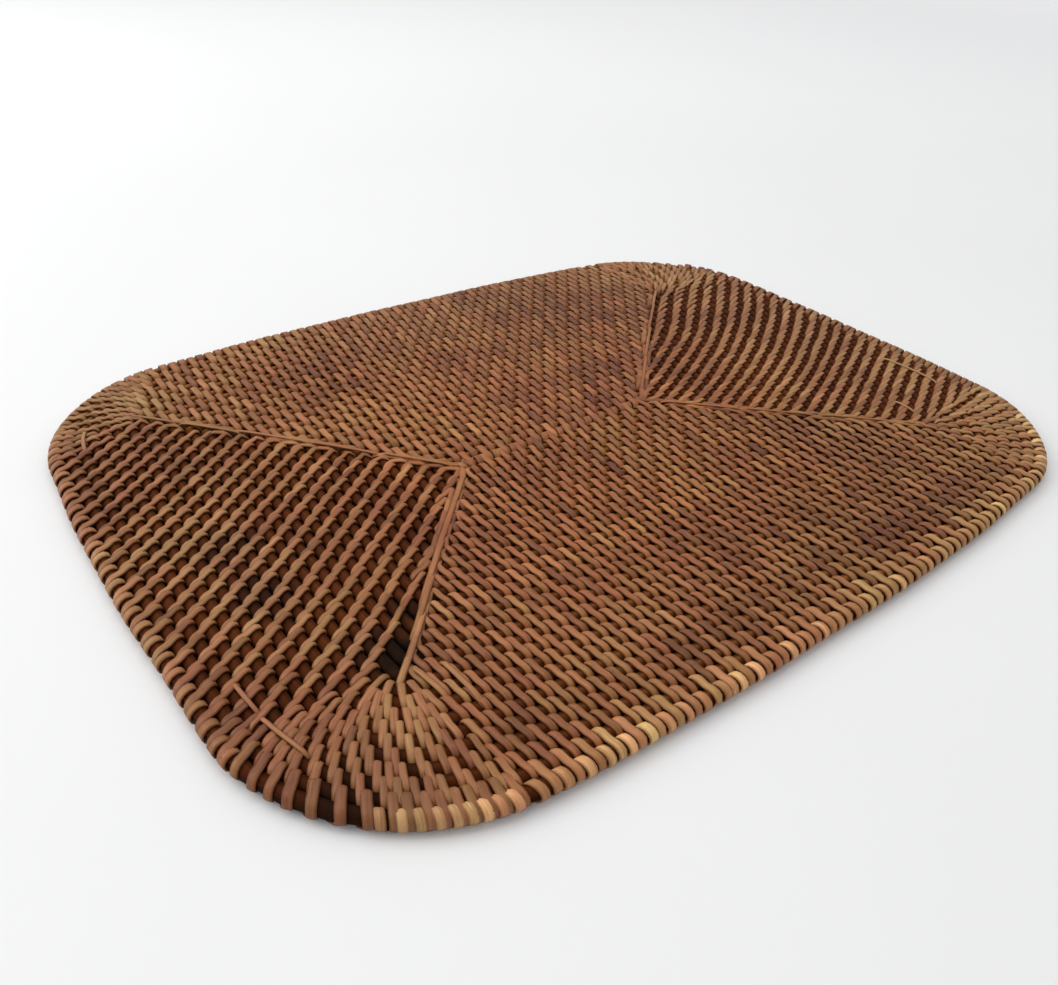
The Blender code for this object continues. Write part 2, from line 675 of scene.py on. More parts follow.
class StripMesher:
    """Gathers closed strips of one cross-section and makes one object of them.

    Each strip is a row of rings. Its skin is laid out flat in equal cells, one cell for each few steps,
    so that every stitch has a neat patch of the map of its own.

    Attributes:
        lowest: lowest that any vertex may lie above the table.
        margin: margin round the skin in a cell, as a share of the cell.
        cap_radius: radius of an end cap in its cell.
    """

    lowest = 0.05 * MM
    margin = 0.04
    cap_radius = 0.42

    def __init__(self, name: str, steps_a_cell: int, cell_shape: float, place_name: str) -> None:
        """Starts an empty piece.

        Args:
            name: name of the object to make.
            steps_a_cell: rings that share one cell of the map.
            cell_shape: length of a cell's skin divided by its girth.
            place_name: name of the attribute that holds length, way round and tone.
        """
        self.name = name
        self.steps_a_cell = steps_a_cell
        self.cell_shape = cell_shape
        self.place_name = place_name
        self.rings: list[np.ndarray] = []
        self.places: list[np.ndarray] = []
        self.warmth: list[np.ndarray] = []

    def add(self, rings: np.ndarray, places: np.ndarray, warmth: np.ndarray | None = None) -> None:
        """Adds one strip, pressed flat where it would reach below the table.

        Args:
            rings: vertices, (steps, sides, 3).
            places: length, way round and tone at each vertex, (steps, sides, 3).
            warmth: how light and warm the stain is at each step, from 0 to 1.
        """
        pressed = rings.copy()
        pressed[..., 2] = np.maximum(pressed[..., 2], self.lowest)
        self.rings.append(pressed)
        self.places.append(places)
        if warmth is not None:
            self.warmth.append(np.repeat(warmth, rings.shape[1]))

    def build(self) -> bpy.types.Object:
        """Makes the object from the strips gathered so far.

        Returns:
            The new object, linked to the scene.
        """
        skins: list[np.ndarray] = []
        skin_maps: list[np.ndarray] = []
        skin_cells: list[np.ndarray] = []
        caps: list[list[int]] = []
        cap_cells: list[int] = []
        first = 0
        cell = 0
        for rings in self.rings:
            steps, sides = rings.shape[:2]
            index = first + np.arange(steps * sides).reshape(steps, sides)
            number = cell + np.arange(steps - 1) // self.steps_a_cell
            skins.append(ring_faces(index))
            skin_maps.append(self._skin_map(steps, sides))
            skin_cells.append(np.repeat(number, sides))
            after = int(number[-1]) + 1
            caps += [index[0][::-1].tolist(), index[-1].tolist()]
            cap_cells += [after, after + 1]
            cell = after + 2
            first += steps * sides
        rows = max(1, math.ceil(math.sqrt(cell * self.cell_shape)))
        columns = math.ceil(cell / rows)
        skin = self._into_cells(np.concatenate(skin_maps), np.concatenate(skin_cells), rows, columns)
        flat = [skin.reshape(-1, 2)]
        for corners, number in zip(caps, cap_cells):
            disc = self._cap_map(len(corners))[None]
            flat.append(self._into_cells(disc, np.array([number]), rows, columns)[0])
        points = np.concatenate([rings.reshape(-1, 3) for rings in self.rings])
        mesh = smooth_mesh(self.name, points, np.concatenate(skins).tolist() + caps)
        layer = mesh.uv_layers.new(name="OFBake")
        layer.data.foreach_set("uv", np.concatenate(flat).astype(np.float32).ravel())
        place = mesh.attributes.new(self.place_name, "FLOAT_VECTOR", "POINT")
        values = np.concatenate([places.reshape(-1, 3) for places in self.places])
        place.data.foreach_set("vector", values.astype(np.float32).ravel())
        if self.warmth:
            warmth = mesh.attributes.new("stain_warmth", "FLOAT", "POINT")
            warmth.data.foreach_set("value", np.concatenate(self.warmth).astype(np.float32))
        mesh.validate()
        return placed(self.name, mesh)

    def _skin_map(self, steps: int, sides: int) -> np.ndarray:
        """Lays the faces of a strip's skin out in unit squares, one square a cell of the map.

        Args:
            steps: rings of the strip.
            sides: vertices of a ring.

        Returns:
            Map corners, (faces, 4, 2).
        """
        within = (np.arange(steps - 1) % self.steps_a_cell) / self.steps_a_cell
        u, v = np.meshgrid(within, np.arange(sides) / sides, indexing="ij")
        du = 1.0 / self.steps_a_cell
        dv = 1.0 / sides
        corners = ((u, v), (u, v + dv), (u + du, v + dv), (u + du, v))
        return np.stack([np.stack(corner, axis=-1) for corner in corners], axis=2).reshape(-1, 4, 2)

    def _cap_map(self, sides: int) -> np.ndarray:
        """Lays an end cap out as a disc in the unit square."""
        way = np.linspace(0.0, 2.0 * math.pi, sides, endpoint=False)
        return 0.5 + self.cap_radius * np.stack([np.cos(way), np.sin(way)], axis=-1)

    def _into_cells(self, uv: np.ndarray, number: np.ndarray, rows: int, columns: int) -> np.ndarray:
        """Moves map corners from the unit square into their numbered cells, with a margin round each.

        Args:
            uv: map corners, (faces, corners, 2).
            number: cell of each face.
            rows: rows of cells in the map.
            columns: columns of cells in the map.

        Returns:
            Map corners in the whole map.
        """
        share = 1.0 - 2.0 * self.margin
        column = (number % columns)[:, None]
        row = (number // columns)[:, None]
        u = (column + self.margin + share * uv[..., 0]) / columns
        v = (row + self.margin + share * uv[..., 1]) / rows
        return np.stack([u, v], axis=-1)


@dataclass(frozen=True)
class StrandSection:
    """Cross-section of the split strand: a domed bark face over a flat pith face.

    Attributes:
        across: place of each vertex across the strand, as a share of its width.
        height: height of each vertex, as a share of its thickness.
    """

    across: tuple[float, ...] = (0.42, 0.50, 0.30, 0.0, -0.30, -0.50, -0.42)
    height: tuple[float, ...] = (-0.50, 0.08, 0.40, 0.50, 0.40, 0.08, -0.50)

    def sweep(
        self, centres: np.ndarray, along: np.ndarray, width: np.ndarray, thickness: np.ndarray
    ) -> tuple[np.ndarray, np.ndarray]:
        """Carries the cross-section along a path.

        Args:
            centres: the path, (steps, 3).
            along: direction of the cane under each point, (steps, 3).
            width: width of the strand at each point.
            thickness: thickness of the strand at each point.

        Returns:
            Rings of vertices, (steps, sides, 3), and the length run at each step.
        """
        tangent = unit(np.gradient(centres, axis=0))
        side = unit(along - (along * tangent).sum(axis=1, keepdims=True) * tangent)
        normal = np.cross(side, tangent)
        across = np.array(self.across)[None, :, None] * width[:, None, None]
        height = np.array(self.height)[None, :, None] * thickness[:, None, None]
        rings = centres[:, None, :] + across * side[:, None, :] + height * normal[:, None, :]
        return rings, lengths_run(centres)

    def places(self, length: np.ndarray, tone: np.ndarray) -> np.ndarray:
        """Gives length, place across and tone at each vertex of a swept strand, (steps, sides, 3)."""
        return stacked(length[:, None], np.array(self.across)[None, :], tone[:, None])


@dataclass(frozen=True)
class CoreCane:
    """The dark cane that runs from the spine to the rim in one square spiral.

    Attributes:
        plan: the plan of the coil.
        size: sizes of the cane.
        sides: vertices round the cane.
        straight_step: length of a step on the straights.
        corner_steps: steps round a corner.
        tight_corner: length under which a corner is tight.
        tight_corner_steps: steps round a tight corner.
        tip: radius where the coil starts, as a share of the full radius.
        tip_length: length over which it thickens.
        steps_a_cell: steps of the cane that share one cell of the map.
        cell_shape: length of their skin divided by its girth.
    """

    plan: MatPlan
    size: CaneSize
    sides: int = 8
    straight_step: float = 9.0 * MM
    corner_steps: int = 7
    tight_corner: float = 8.0 * MM
    tight_corner_steps: int = 3
    tip: float = 0.35
    tip_length: float = 20.0 * MM
    steps_a_cell: int = 22
    cell_shape: float = 200.0 / 14.7

    def path(self) -> tuple[np.ndarray, np.ndarray, np.ndarray, np.ndarray]:
        """Follows the whole spiral.

        Returns:
            Plan points of the cane's middle line, directions along it, its half breadth and height,
            and the warmth of its stain.
        """
        end = CoilEnd(self.plan, self.size)
        knots = [stretch + share for stretch, share, _ in STAIN_WARMTH]
        warmth = [value for *_, value in STAIN_WARMTH]
        found = []
        for turn in range(self.plan.rounds):
            turns, stretches, places, shares = self.plan.chart(turn, self._stops(turn))
            taper, shift = end.taper(turns, stretches, shares)
            points, ways = self.plan.locate(turns, stretches, places, shift)
            pitch = np.array([STYLES[Stretch(s)].pitch for s in stretches])
            half = np.stack([self.size.fullness * pitch * taper, self.size.core_radius * taper], axis=1)
            found.append((points, ways, half, np.interp(stretches + shares, knots, warmth)))
        points, ways, half, warmths = (np.concatenate(part) for part in zip(*found))
        return points, ways, half, warmths

    def _stops(self, turn: int) -> np.ndarray:
        """Chooses where the cane gets a ring.

        Args:
            turn: number of the turn.

        Returns:
            Lengths along the turn.
        """
        lengths = self.plan.lengths(turn)
        starts = self.plan.starts(turn)
        stops = []
        for stretch in Stretch:
            steps = self.corner_steps
            if stretch in STRAIGHT_SIGN:
                steps = max(2, int(lengths[stretch] / self.straight_step))
            elif lengths[stretch] < self.tight_corner:
                steps = self.tight_corner_steps
            stops.append(starts[stretch] + np.arange(steps) / steps * lengths[stretch])
        return np.concatenate(stops)

    def build(self) -> bpy.types.Object:
        """Makes the cane as one tube, thinned to a cut tip at both ends.

        Returns:
            The cane's object.
        """
        points, ways, half, warmth = self.path()
        centres = raised(points, self.size.middle)
        run = lengths_run(centres)
        uneven = 1.0 + 0.02 * np.sin(61.0 * run) + 0.015 * np.sin(143.0 * run + 1.0)
        thinned = 1.0 - self.tip
        into = self.tip + thinned * np.clip(run / self.tip_length, 0.0, 1.0)
        half = half * (uneven * into)[:, None]
        way = np.linspace(0.0, 2.0 * math.pi, self.sides, endpoint=False)
        cosine = np.cos(way)[None, :]
        sine = np.sin(way)[None, :]
        outward = raised(square_to(ways), 0.0)
        up = np.array([0.0, 0.0, 1.0])
        rings = (
            centres[:, None, :]
            + half[:, :1, None] * cosine[..., None] * outward[:, None, :]
            + half[:, 1:, None] * sine[..., None] * up
        )
        radius = self.size.core_radius
        mesher = StripMesher("core_cane", self.steps_a_cell, self.cell_shape, "cane_place")
        mesher.add(rings, stacked(run[:, None], cosine * radius, sine * radius), warmth)
        return mesher.build()


@dataclass(frozen=True)
class StitchRow:
    """The stitches of one turn.

    Attributes:
        turn: number of the turn.
        run: length along the turn at which each stitch sits.
        gap: distance from each stitch to the next.
    """

    turn: int
    run: np.ndarray
    gap: np.ndarray


class StitchMarch:
    """Sets out the stitches round by round, each row staggered from the one inside it.

    Attributes:
        reference_turn: the turn on which a stitch sits at the middle of each straight.
        tight_corner: length under which a corner takes no stitches of its own.
        unevenness: how far a stitch strays from its place.
        closing_gap: least gap after the last stitch of a turn.
        look_back: how far before a corner the stitches inside still lead on to it.
        farthest: how far a stitch inside may be from the one that it leads to.
        least_bare: length from which a bare end keeps its gap open.
        crowded: share of the spacing under which one of two stitches gives way.
        too_crowded: the same share for two stitches that both sit on straights.
        widest_on_straight: times the spacing that a gap may be on a straight.
        widest_on_corner: times the spacing that a gap may be on a corner.
        half_span: how far each way from the middle of the mat the lattice is set out.
        samples: samples of the lattice.
        clearance: least distance from a stitch to the end of its straight.
        search_step: step at which a turn is searched for the nearest place.
        beside_mitre: share of a stretch, next to a mitre, that may stay bare.
    """

    reference_turn = 20
    tight_corner = 7.0 * MM
    unevenness = 0.20 * MM
    closing_gap = 4.0 * MM
    look_back = 12.0 * MM
    farthest = 40.0 * MM
    least_bare = 2.0 * MM
    crowded = 0.64
    too_crowded = 0.45
    widest_on_straight = 1.42
    widest_on_corner = 1.30
    half_span = 0.24
    samples = 1921
    clearance = 0.4 * MM
    search_step = 0.5 * MM
    beside_mitre = 0.3

    def __init__(self, plan: MatPlan, dice: np.random.RandomState) -> None:
        """Keeps the plan and the seeded dice."""
        self.plan = plan
        self.dice = dice

    def on_straight(self, stretch: Stretch, turn: int, start: float, end: float) -> np.ndarray:
        """Finds the stitches of one turn on one straight, in a lattice that leans with the stagger.

        Args:
            stretch: the straight.
            turn: number of the turn.
            start: x or y where the straight starts.
            end: x or y where it ends.

        Returns:
            x or y of each stitch, in the order in which the cane runs.
        """
        sign = STRAIGHT_SIGN[stretch]
        style = STYLES[stretch]
        ahead = np.linspace(-self.half_span, self.half_span, self.samples)
        step = ahead[1] - ahead[0]
        density = 1.0 / style.spacing_at(sign * ahead)
        # The phase counts stitches along the straight: there is one at each whole number.
        phase = np.cumsum(density) * step
        phase -= np.interp(0.0, ahead, phase)
        phase -= style.stagger_at(sign * ahead) * (turn - self.reference_turn)
        phase = np.maximum.accumulate(phase)
        reach = [sign * start + self.clearance, sign * end - self.clearance]
        first, last = np.interp(reach, ahead, phase)
        numbers = np.arange(math.ceil(first), math.floor(last) + 1)
        return sign * np.interp(numbers, phase, ahead)

    def rows(self) -> list[StitchRow]:
        """Sets out every row from the spine to the rim.

        Returns:
            One row of stitches a turn.
        """
        made: list[StitchRow] = []
        inner = np.zeros(0)
        for turn in range(self.plan.rounds):
            total = float(self.plan.starts(turn)[-1])
            fixed: list[np.ndarray] = []
            for stretch, (start, end) in self.plan.limits(self.plan.middle(turn)).items():
                sign = STRAIGHT_SIGN[stretch]
                first = float(start[0]) + sign * BARE_STARTS.get(stretch, NO_BARE_END).at(turn)
                last = float(end[0]) - sign * BARE_ENDS.get(stretch, NO_BARE_END).at(turn)
                place = self.on_straight(stretch, turn, first, last)
                fixed.append(self.plan.reach(turn, np.full(place.shape, int(stretch)), place))
            run = self._settled(turn, np.concatenate(fixed), self._on_corners(turn, inner), total)
            gap = np.append(np.diff(run), max(self.closing_gap, total - run[-1]))
            made.append(StitchRow(turn, run + self.dice.normal(0.0, self.unevenness, run.shape), gap))
            inner = run
        return made

    def _on_corners(self, turn: int, inner: np.ndarray) -> np.ndarray:
        """Carries the stitches of the turn inside out to this turn's round corners.

        Args:
            turn: number of the turn.
            inner: where the stitches of the turn inside sit.

        Returns:
            Where stitches sit on the round corners.
        """
        found = [np.zeros(0)]
        if turn == 0:
            return found[0]
        starts = self.plan.starts(turn)
        lengths = self.plan.lengths(turn)
        mapped = self._carried(turn, inner)
        _, stretch, _, share = self.plan.chart(turn, mapped)
        for corner in CORNER_START:
            if lengths[corner] < self.tight_corner:
                continue
            style = STYLES[corner]
            near = (mapped > starts[corner] - self.look_back) & (mapped <= starts[corner + 1])
            into = np.where(stretch[near] == corner, share[near], 0.0)
            ahead = mapped[near] + style.stagger_at(into) * style.spacing_at(into)
            found.append(ahead[(ahead >= starts[corner]) & (ahead < starts[corner + 1])])
        return np.concatenate(found)

    def _carried(self, turn: int, inner: np.ndarray) -> np.ndarray:
        """Finds the places on this turn that lie straight outside the stitches of the turn inside.

        Args:
            turn: number of the turn.
            inner: where the stitches of the turn inside sit.

        Returns:
            Lengths along this turn.
        """
        _, stretch, place, _ = self.plan.chart(turn - 1, inner)
        points, _ = self.plan.locate(np.full(inner.shape, turn - 1), stretch, place)
        roughly = self.plan.reach(turn, stretch, place)
        run = np.arange(0.0, self.plan.lengths(turn).sum(), self.search_step)
        _, stretch, place, _ = self.plan.chart(turn, run)
        curve, _ = self.plan.locate(np.full(run.shape, turn), stretch, place)
        away = np.linalg.norm(points[:, None, :] - curve[None, :, :], axis=2)
        away[np.abs(run[None, :] - roughly[:, None]) > self.farthest] = np.inf
        return run[away.argmin(axis=1)]

    def _wanted(self, turn: int, run: float) -> tuple[float, float]:
        """Gives what the rows are kept to at one place.

        Args:
            turn: number of the turn.
            run: length along it.

        Returns:
            The wanted spacing, and how many times that a gap may be.
        """
        _, stretch, place, share = self.plan.chart(turn, np.array([run]))
        one = Stretch(int(stretch[0]))
        if one in STRAIGHT_SIGN:
            return float(STYLES[one].spacing_at(place)[0]), self.widest_on_straight
        return float(STYLES[one].spacing_at(share)[0]), self.widest_on_corner

    def _is_bare(self, turn: int, last: float, run: float) -> bool:
        """Tells whether a wide gap is one that the maker left bare beside a mitre.

        Args:
            turn: number of the turn.
            last: length along the turn where the gap starts.
            run: length along the turn where it ends.

        Returns:
            True if the gap stays open.
        """
        _, stretch, _, share = self.plan.chart(turn, np.array([last, run]))
        leaves = BARE_ENDS.get(Stretch(int(stretch[0])), NO_BARE_END).at(turn) > self.least_bare
        enters = BARE_STARTS.get(Stretch(int(stretch[1])), NO_BARE_END).at(turn) > self.least_bare
        return (leaves and share[0] > 1.0 - self.beside_mitre) or (enters and share[1] < self.beside_mitre)

    def _settled(self, turn: int, straight: np.ndarray, loose: np.ndarray, total: float) -> np.ndarray:
        """Joins the rows of the straights and corners, drops crowded stitches and fills wide gaps.

        Args:
            turn: number of the turn.
            straight: stitches on the straights.
            loose: stitches on the round corners, which give way.
            total: length of the turn.

        Returns:
            Where the stitches sit, in order.
        """
        spots = sorted([(r, True) for r in straight] + [(r, False) for r in loose])
        kept: list[tuple[float, bool]] = []
        for run, firm in spots + [(total + self.closing_gap, True)]:
            if kept:
                last, last_firm = kept[-1]
                near, widest = self._wanted(turn, min(0.5 * (last + run), total - 1e-6))
                room = run - last
                if room < self.crowded * near:
                    if firm and not last_firm:
                        kept[-1] = (run, firm)
                    elif firm and room > self.too_crowded * near:
                        kept.append((run, firm))
                    continue
                if room > widest * near and not self._is_bare(turn, last, run):
                    extra = max(1, int(round(room / near)) - 1)
                    kept += [(last + room * (k + 1) / (extra + 1), False) for k in range(extra)]
            kept.append((run, firm))
        return np.array([r for r, _ in kept if r < total])


@dataclass(frozen=True)
class StrandWork:
    """Work in split strand.

    Attributes:
        plan: the plan of the coil.
        size: sizes of the cane and the strand.
        section: the strand's cross-section.
    """

    plan: MatPlan
    size: CaneSize
    section: StrandSection


@dataclass(frozen=True)
class BindingStrand(StrandWork):
    """The split strand that binds each round to the one inside it.

    Attributes:
        rows: the stitches of every turn.
        end: the end of the coil.
        dip: how far the strand sinks between two canes.
        lift: how far it stands off the inner cane, over the strand of that round.
        stitches_a_strand: stitches made with one length of strand, which share a tone.
        rim_broader: how much broader the strand is on the last round.
        least_gap: the least gap that a stitch leans across.
        most_gap: the widest gap that a stitch leans across.
        inmost: number of the step that reaches farthest in.
        lean_spread, lift_spread, width_spread: how much the stitches differ in each.
        strand_spread, stitch_spread: how much the tone differs between strands and between stitches.
        steps_a_cell: steps of the strand that share one cell of the map.
        cell_shape: length of their skin divided by its girth.
    """

    rows: list[StitchRow]
    end: CoilEnd
    dip: float = 0.42 * MM
    lift: float = 0.22 * MM
    stitches_a_strand: int = 37
    rim_broader: float = 1.20
    least_gap: float = 5.0 * MM
    most_gap: float = 10.5 * MM
    inmost: int = 8
    lean_spread: float = 0.10
    lift_spread: float = 0.3
    width_spread: float = 0.05
    strand_spread: float = 0.10
    stitch_spread: float = 0.11
    steps_a_cell: int = 14
    cell_shape: float = 31.0 / 6.5

    def stitch_shape(self) -> tuple[np.ndarray, np.ndarray, np.ndarray]:
        """Sets out one stitch in cross-section, over two canes and back under them.

        Returns:
            Which cane each step is on (0 outer, 1 inner, 0.5 between them), its angle round that cane,
            which is nan between them, and its extra height.
        """
        between = math.nan
        degrees = [0, 38, 66, 92, between, 88, 114, 142, 180, 222, 268, between, -88, -42]
        cane = [0, 0, 0, 0, 0.5, 1, 1, 1, 1, 1, 1, 0.5, 0, 0]
        extra = [0, 0, 0, 0.1, 0.6, 1, 1, 0.6, 0, 0, 0, 0, 0, 0]
        return np.array(cane, dtype=float), np.radians(degrees), np.array(extra) * self.lift

    def row_path(self, row: StitchRow, dice: np.random.RandomState) -> tuple[np.ndarray, ...]:
        """Follows the strand round one turn.

        Args:
            row: the row of stitches.
            dice: seeded dice for the small differences between stitches.

        Returns:
            Points, directions along the cane, widths and stitch numbers, one a step.
        """
        cane, angle, extra = self.stitch_shape()
        count = len(row.run)
        turns, stretch, spot, share = self.plan.chart(row.turn, row.run)
        taper, closing = self.end.taper(turns, stretch, share)
        pitch = np.array([STYLES[Stretch(s)].pitch for s in stretch])
        pair = styled("pairs", stretch, spot, share) + spine_slack(stretch, spot, row.turn)
        stagger = styled("staggers", stretch, spot, share)
        width = MM * styled("widths", stretch, spot, share)
        if row.turn == self.plan.rounds - 1:
            width = self.rim_broader * width
        local = np.clip(row.gap, self.least_gap, self.most_gap)
        lean = 2.0 * local * (stagger - pair) * (1.0 + dice.normal(0.0, self.lean_spread, count))
        between = np.isnan(angle)
        angles = np.where(between, 0.0, angle)[None, :]
        thin = np.where(cane[None, :] == 0, taper[:, None], 1.0)
        wrap = self.size.core_radius * thin + 0.5 * self.size.strand_thickness
        broad = self.size.fullness * thin + 0.5 * self.size.strand_thickness / pitch[:, None]
        reach = np.where(between, 0.0, broad * np.cos(angles))
        reach = reach - cane[None, :] + closing[:, None] * (1.0 - cane)[None, :]
        if row.turn == 0:
            reach[stretch <= Stretch.BACK_LEFT] += cane[None, :]
        height = wrap * np.sin(angles)
        height[:, between] = np.array([1.0, -1.0]) * (self.size.wrap - self.dip)
        height += extra[None, :] * (1.0 + dice.normal(0.0, self.lift_spread, (count, 1)))
        # Above, the strand leans as it crosses. Below, it runs on to the next stitch.
        inner = reach[:, self.inmost:self.inmost + 1]
        part = (reach - inner) / (reach[:, :1] - inner)
        above = lean[:, None] * (part - 0.5)
        below = -0.5 * lean[:, None] + (row.gap + lean)[:, None] * part
        run = row.run[:, None] + np.where(np.arange(len(cane))[None, :] <= self.inmost, above, below)
        turns, stretches, places, _ = self.plan.chart(row.turn, run)
        point, way = self.plan.locate(turns, stretches, places, reach)
        point = self._squared(turns, stretches, places, reach, point)
        widths = (width * (1.0 + dice.normal(0.0, self.width_spread, count)))[:, None]
        return (
            raised(point, self.size.middle + height).reshape(-1, 3),
            raised(way, 0.0).reshape(-1, 3),
            np.broadcast_to(widths, run.shape).ravel(),
            np.repeat(np.arange(count), len(cane)),
        )

    def _squared(
        self,
        turns: np.ndarray,
        stretches: np.ndarray,
        places: np.ndarray,
        reach: np.ndarray,
        point: np.ndarray,
    ) -> np.ndarray:
        """Sets the stitches of the round corners square across the two canes that they hold.

        Args:
            turns: turn of each step.
            stretches: stretch of each step.
            places: x, y or angle of each step.
            reach: rounds outward from the middle of the turn.
            point: where the plan puts each step.

        Returns:
            Points in plan.
        """
        round_corner = np.zeros(turns.shape, dtype=bool)
        for turn in np.unique(turns):
            lengths = self.plan.lengths(int(turn))
            for corner in CORNER_START:
                if lengths[corner] >= StitchMarch.tight_corner:
                    round_corner |= (turns == turn) & (stretches == corner)
        if not round_corner.any():
            return point
        middle, way = self.plan.locate(turns, stretches, places, -0.5)
        outer, _ = self.plan.locate(turns, stretches, places, 0.5)
        inner, _ = self.plan.locate(turns, stretches, places, -1.5)
        outward = square_to(way)
        pitch = 0.5 * ((outer - inner) * outward).sum(axis=-1)
        squared = middle + outward * (pitch * (reach + 0.5))[..., None]
        return np.where(round_corner[..., None], squared, point)

    def build(self, name: str, first: int, last: int, dice: np.random.RandomState) -> bpy.types.Object:
        """Makes the binding of a group of turns as one continuous strand.

        Args:
            name: name of the object.
            first: first turn of the group.
            last: turn after the last one.
            dice: seeded dice.

        Returns:
            The strand's object.
        """
        parts = [self.row_path(row, dice) for row in self.rows[first:last]]
        centres, along, widths, _ = (np.concatenate(part) for part in zip(*parts))
        sums = np.concatenate([[0], np.cumsum([len(row.run) for row in self.rows[first:last]])])
        number = np.concatenate([part[3] + before for part, before in zip(parts, sums)])
        count = int(sums[-1])
        strand = dice.normal(0.0, self.strand_spread, count // self.stitches_a_strand + 2)
        tone = strand[(np.arange(count) + dice.randint(0, 30)) // self.stitches_a_strand]
        tone = np.clip(0.5 + tone + dice.normal(0.0, self.stitch_spread, count), 0.02, 0.98)
        if last == self.plan.rounds:
            rim = self.rows[-1]
            _, stretch, _, _ = self.plan.chart(rim.turn, rim.run)
            tone[-len(rim.run):] += [RIM_LIFT.get(Stretch(one), 0.0) for one in stretch]
        thickness = np.full(widths.shape, self.size.strand_thickness)
        rings, run = self.section.sweep(centres, along, widths, thickness)
        mesher = StripMesher(name, self.steps_a_cell, self.cell_shape, "strand_place")
        mesher.add(rings, self.section.places(run, tone[number]))
        return mesher.build()


@dataclass(frozen=True)
class RimSpan:
    """A length of the rim where extra wraps lie between the stitches of the last round.

    Attributes:
        name: name of the piece.
        first: where the span starts, as a stretch and a share of it.
        last: where the span ends.
        into_gap: where a wrap sits between two stitches, as a share of the gap.
        lean: how far a wrap leans, as a share of the gap.
        width: width of a wrap, in millimetres.
        tone: how pale the wraps are.
        tone_spread: how much their tone differs.
    """

    name: str
    first: tuple[Stretch, float]
    last: tuple[Stretch, float]
    into_gap: float
    lean: float
    width: float
    tone: float
    tone_spread: float = 0.12


RIM_SPANS = (
    RimSpan("rim_front", (Stretch.FRONT_LEFT, 0.5), (Stretch.FRONT_RIGHT, 0.62), 0.49, 0.16, 3.3, 1.2, 0.22),
    RimSpan("rim_left", (Stretch.BACK_LEFT, 0.20), (Stretch.FRONT_LEFT, 0.05), 0.54, 0.16, 3.0, 0.66),
    RimSpan("rim_back", (Stretch.BACK, 0.02), (Stretch.BACK_LEFT, 0.19), 0.50, 0.05, 3.5, 0.52),
    RimSpan("rim_right", (Stretch.FRONT_RIGHT, 0.66), (Stretch.BACK_RIGHT, 0.30), 0.55, 0.10, 3.4, 0.16),
)


@dataclass(frozen=True)
class RimWraps(StrandWork):
    """Short wraps of strand round the outermost cane alone.

    Attributes:
        row: the stitches of the last turn.
        apart: how far apart the wraps lie along the fibre's pattern.
        clear: gap between the cane and a wrap.
        thin_from, thin_over: where round the cane a wrap starts to thin, and over how many degrees.
        thinned: share of its thickness that it loses.
        lean_spread, width_spread: how much the wraps differ in each.
        wander: how far a wrap strays from its place.
        tones: the darkest and palest tone of a wrap.
        cell_shape: length of a wrap's skin divided by its girth.
    """

    row: StitchRow
    apart: float = 0.05
    clear: float = 0.02 * MM
    thin_from: float = 105.0
    thin_over: float = 45.0
    thinned: float = 0.45
    lean_spread: float = 0.2
    width_spread: float = 0.06
    wander: float = 0.15 * MM
    tones: tuple[float, float] = (0.3, 1.6)
    cell_shape: float = 17.0 / 7.0

    def spots(self, span: RimSpan) -> tuple[np.ndarray, np.ndarray]:
        """Finds where the wraps of one span sit.

        Args:
            span: the length of the rim.

        Returns:
            Lengths along the last turn, and the gap between stitches at each.
        """
        _, stretch, _, share = self.plan.chart(self.row.turn, self.row.run)
        position = stretch + share
        inside = (position >= span.first[0] + span.first[1]) & (position <= span.last[0] + span.last[1])
        gap = self.row.gap[inside]
        return self.row.run[inside] + span.into_gap * gap, gap

    def build(self, span: RimSpan, dice: np.random.RandomState) -> bpy.types.Object:
        """Makes the wraps of one span.

        Args:
            span: the length of the rim.
            dice: seeded dice for the small differences between wraps.

        Returns:
            The object that holds the wraps.
        """
        angle = np.radians([192, 168, 142, 112, 84, 56, 28, 0, -30, -60, -92, -128, -164])
        steps = len(angle)
        mesher = StripMesher(span.name, steps - 1, self.cell_shape, "strand_place")
        inner = (np.abs(angle) - math.radians(self.thin_from)) / math.radians(self.thin_over)
        thickness = self.size.strand_thickness * (1.0 - self.thinned * np.clip(inner, 0.0, 1.0))
        radius = self.size.core_radius + 0.5 * thickness + self.clear
        part = 0.5 + 0.5 * np.cos(np.clip(angle, -0.5 * math.pi, math.pi))
        started = 0.0
        for run, gap in zip(*self.spots(span)):
            lean = span.lean * gap * (1.0 + dice.normal(0.0, self.lean_spread))
            along_turn = run + lean * (part - 0.5) + dice.normal(0.0, self.wander)
            turns, stretches, places, _ = self.plan.chart(self.row.turn, along_turn)
            pitch = STYLES[Stretch(int(stretches[0]))].pitch
            broad = self.size.fullness + (radius - self.size.core_radius) / pitch
            point, way = self.plan.locate(turns, stretches, places, broad * np.cos(angle))
            centres = raised(point, self.size.middle + radius * np.sin(angle))
            width = np.full(steps, span.width * MM * (1.0 + dice.normal(0.0, self.width_spread)))
            rings, length = self.section.sweep(centres, raised(way, 0.0), width, thickness)
            tone = np.clip(span.tone + dice.normal(0.0, span.tone_spread), *self.tones)
            mesher.add(rings, self.section.places(length + started, np.full(steps, tone)))
            started += self.apart
        return mesher.build()


@dataclass(frozen=True)
class TopStrand:
    """A strand laid over the finished weave.

    Attributes:
        points: the points in plan that it runs through, in millimetres.
        width: its width, in millimetres.
        tone: how pale it is.
    """

    points: tuple[tuple[float, float], ...]
    width: float
    tone: float


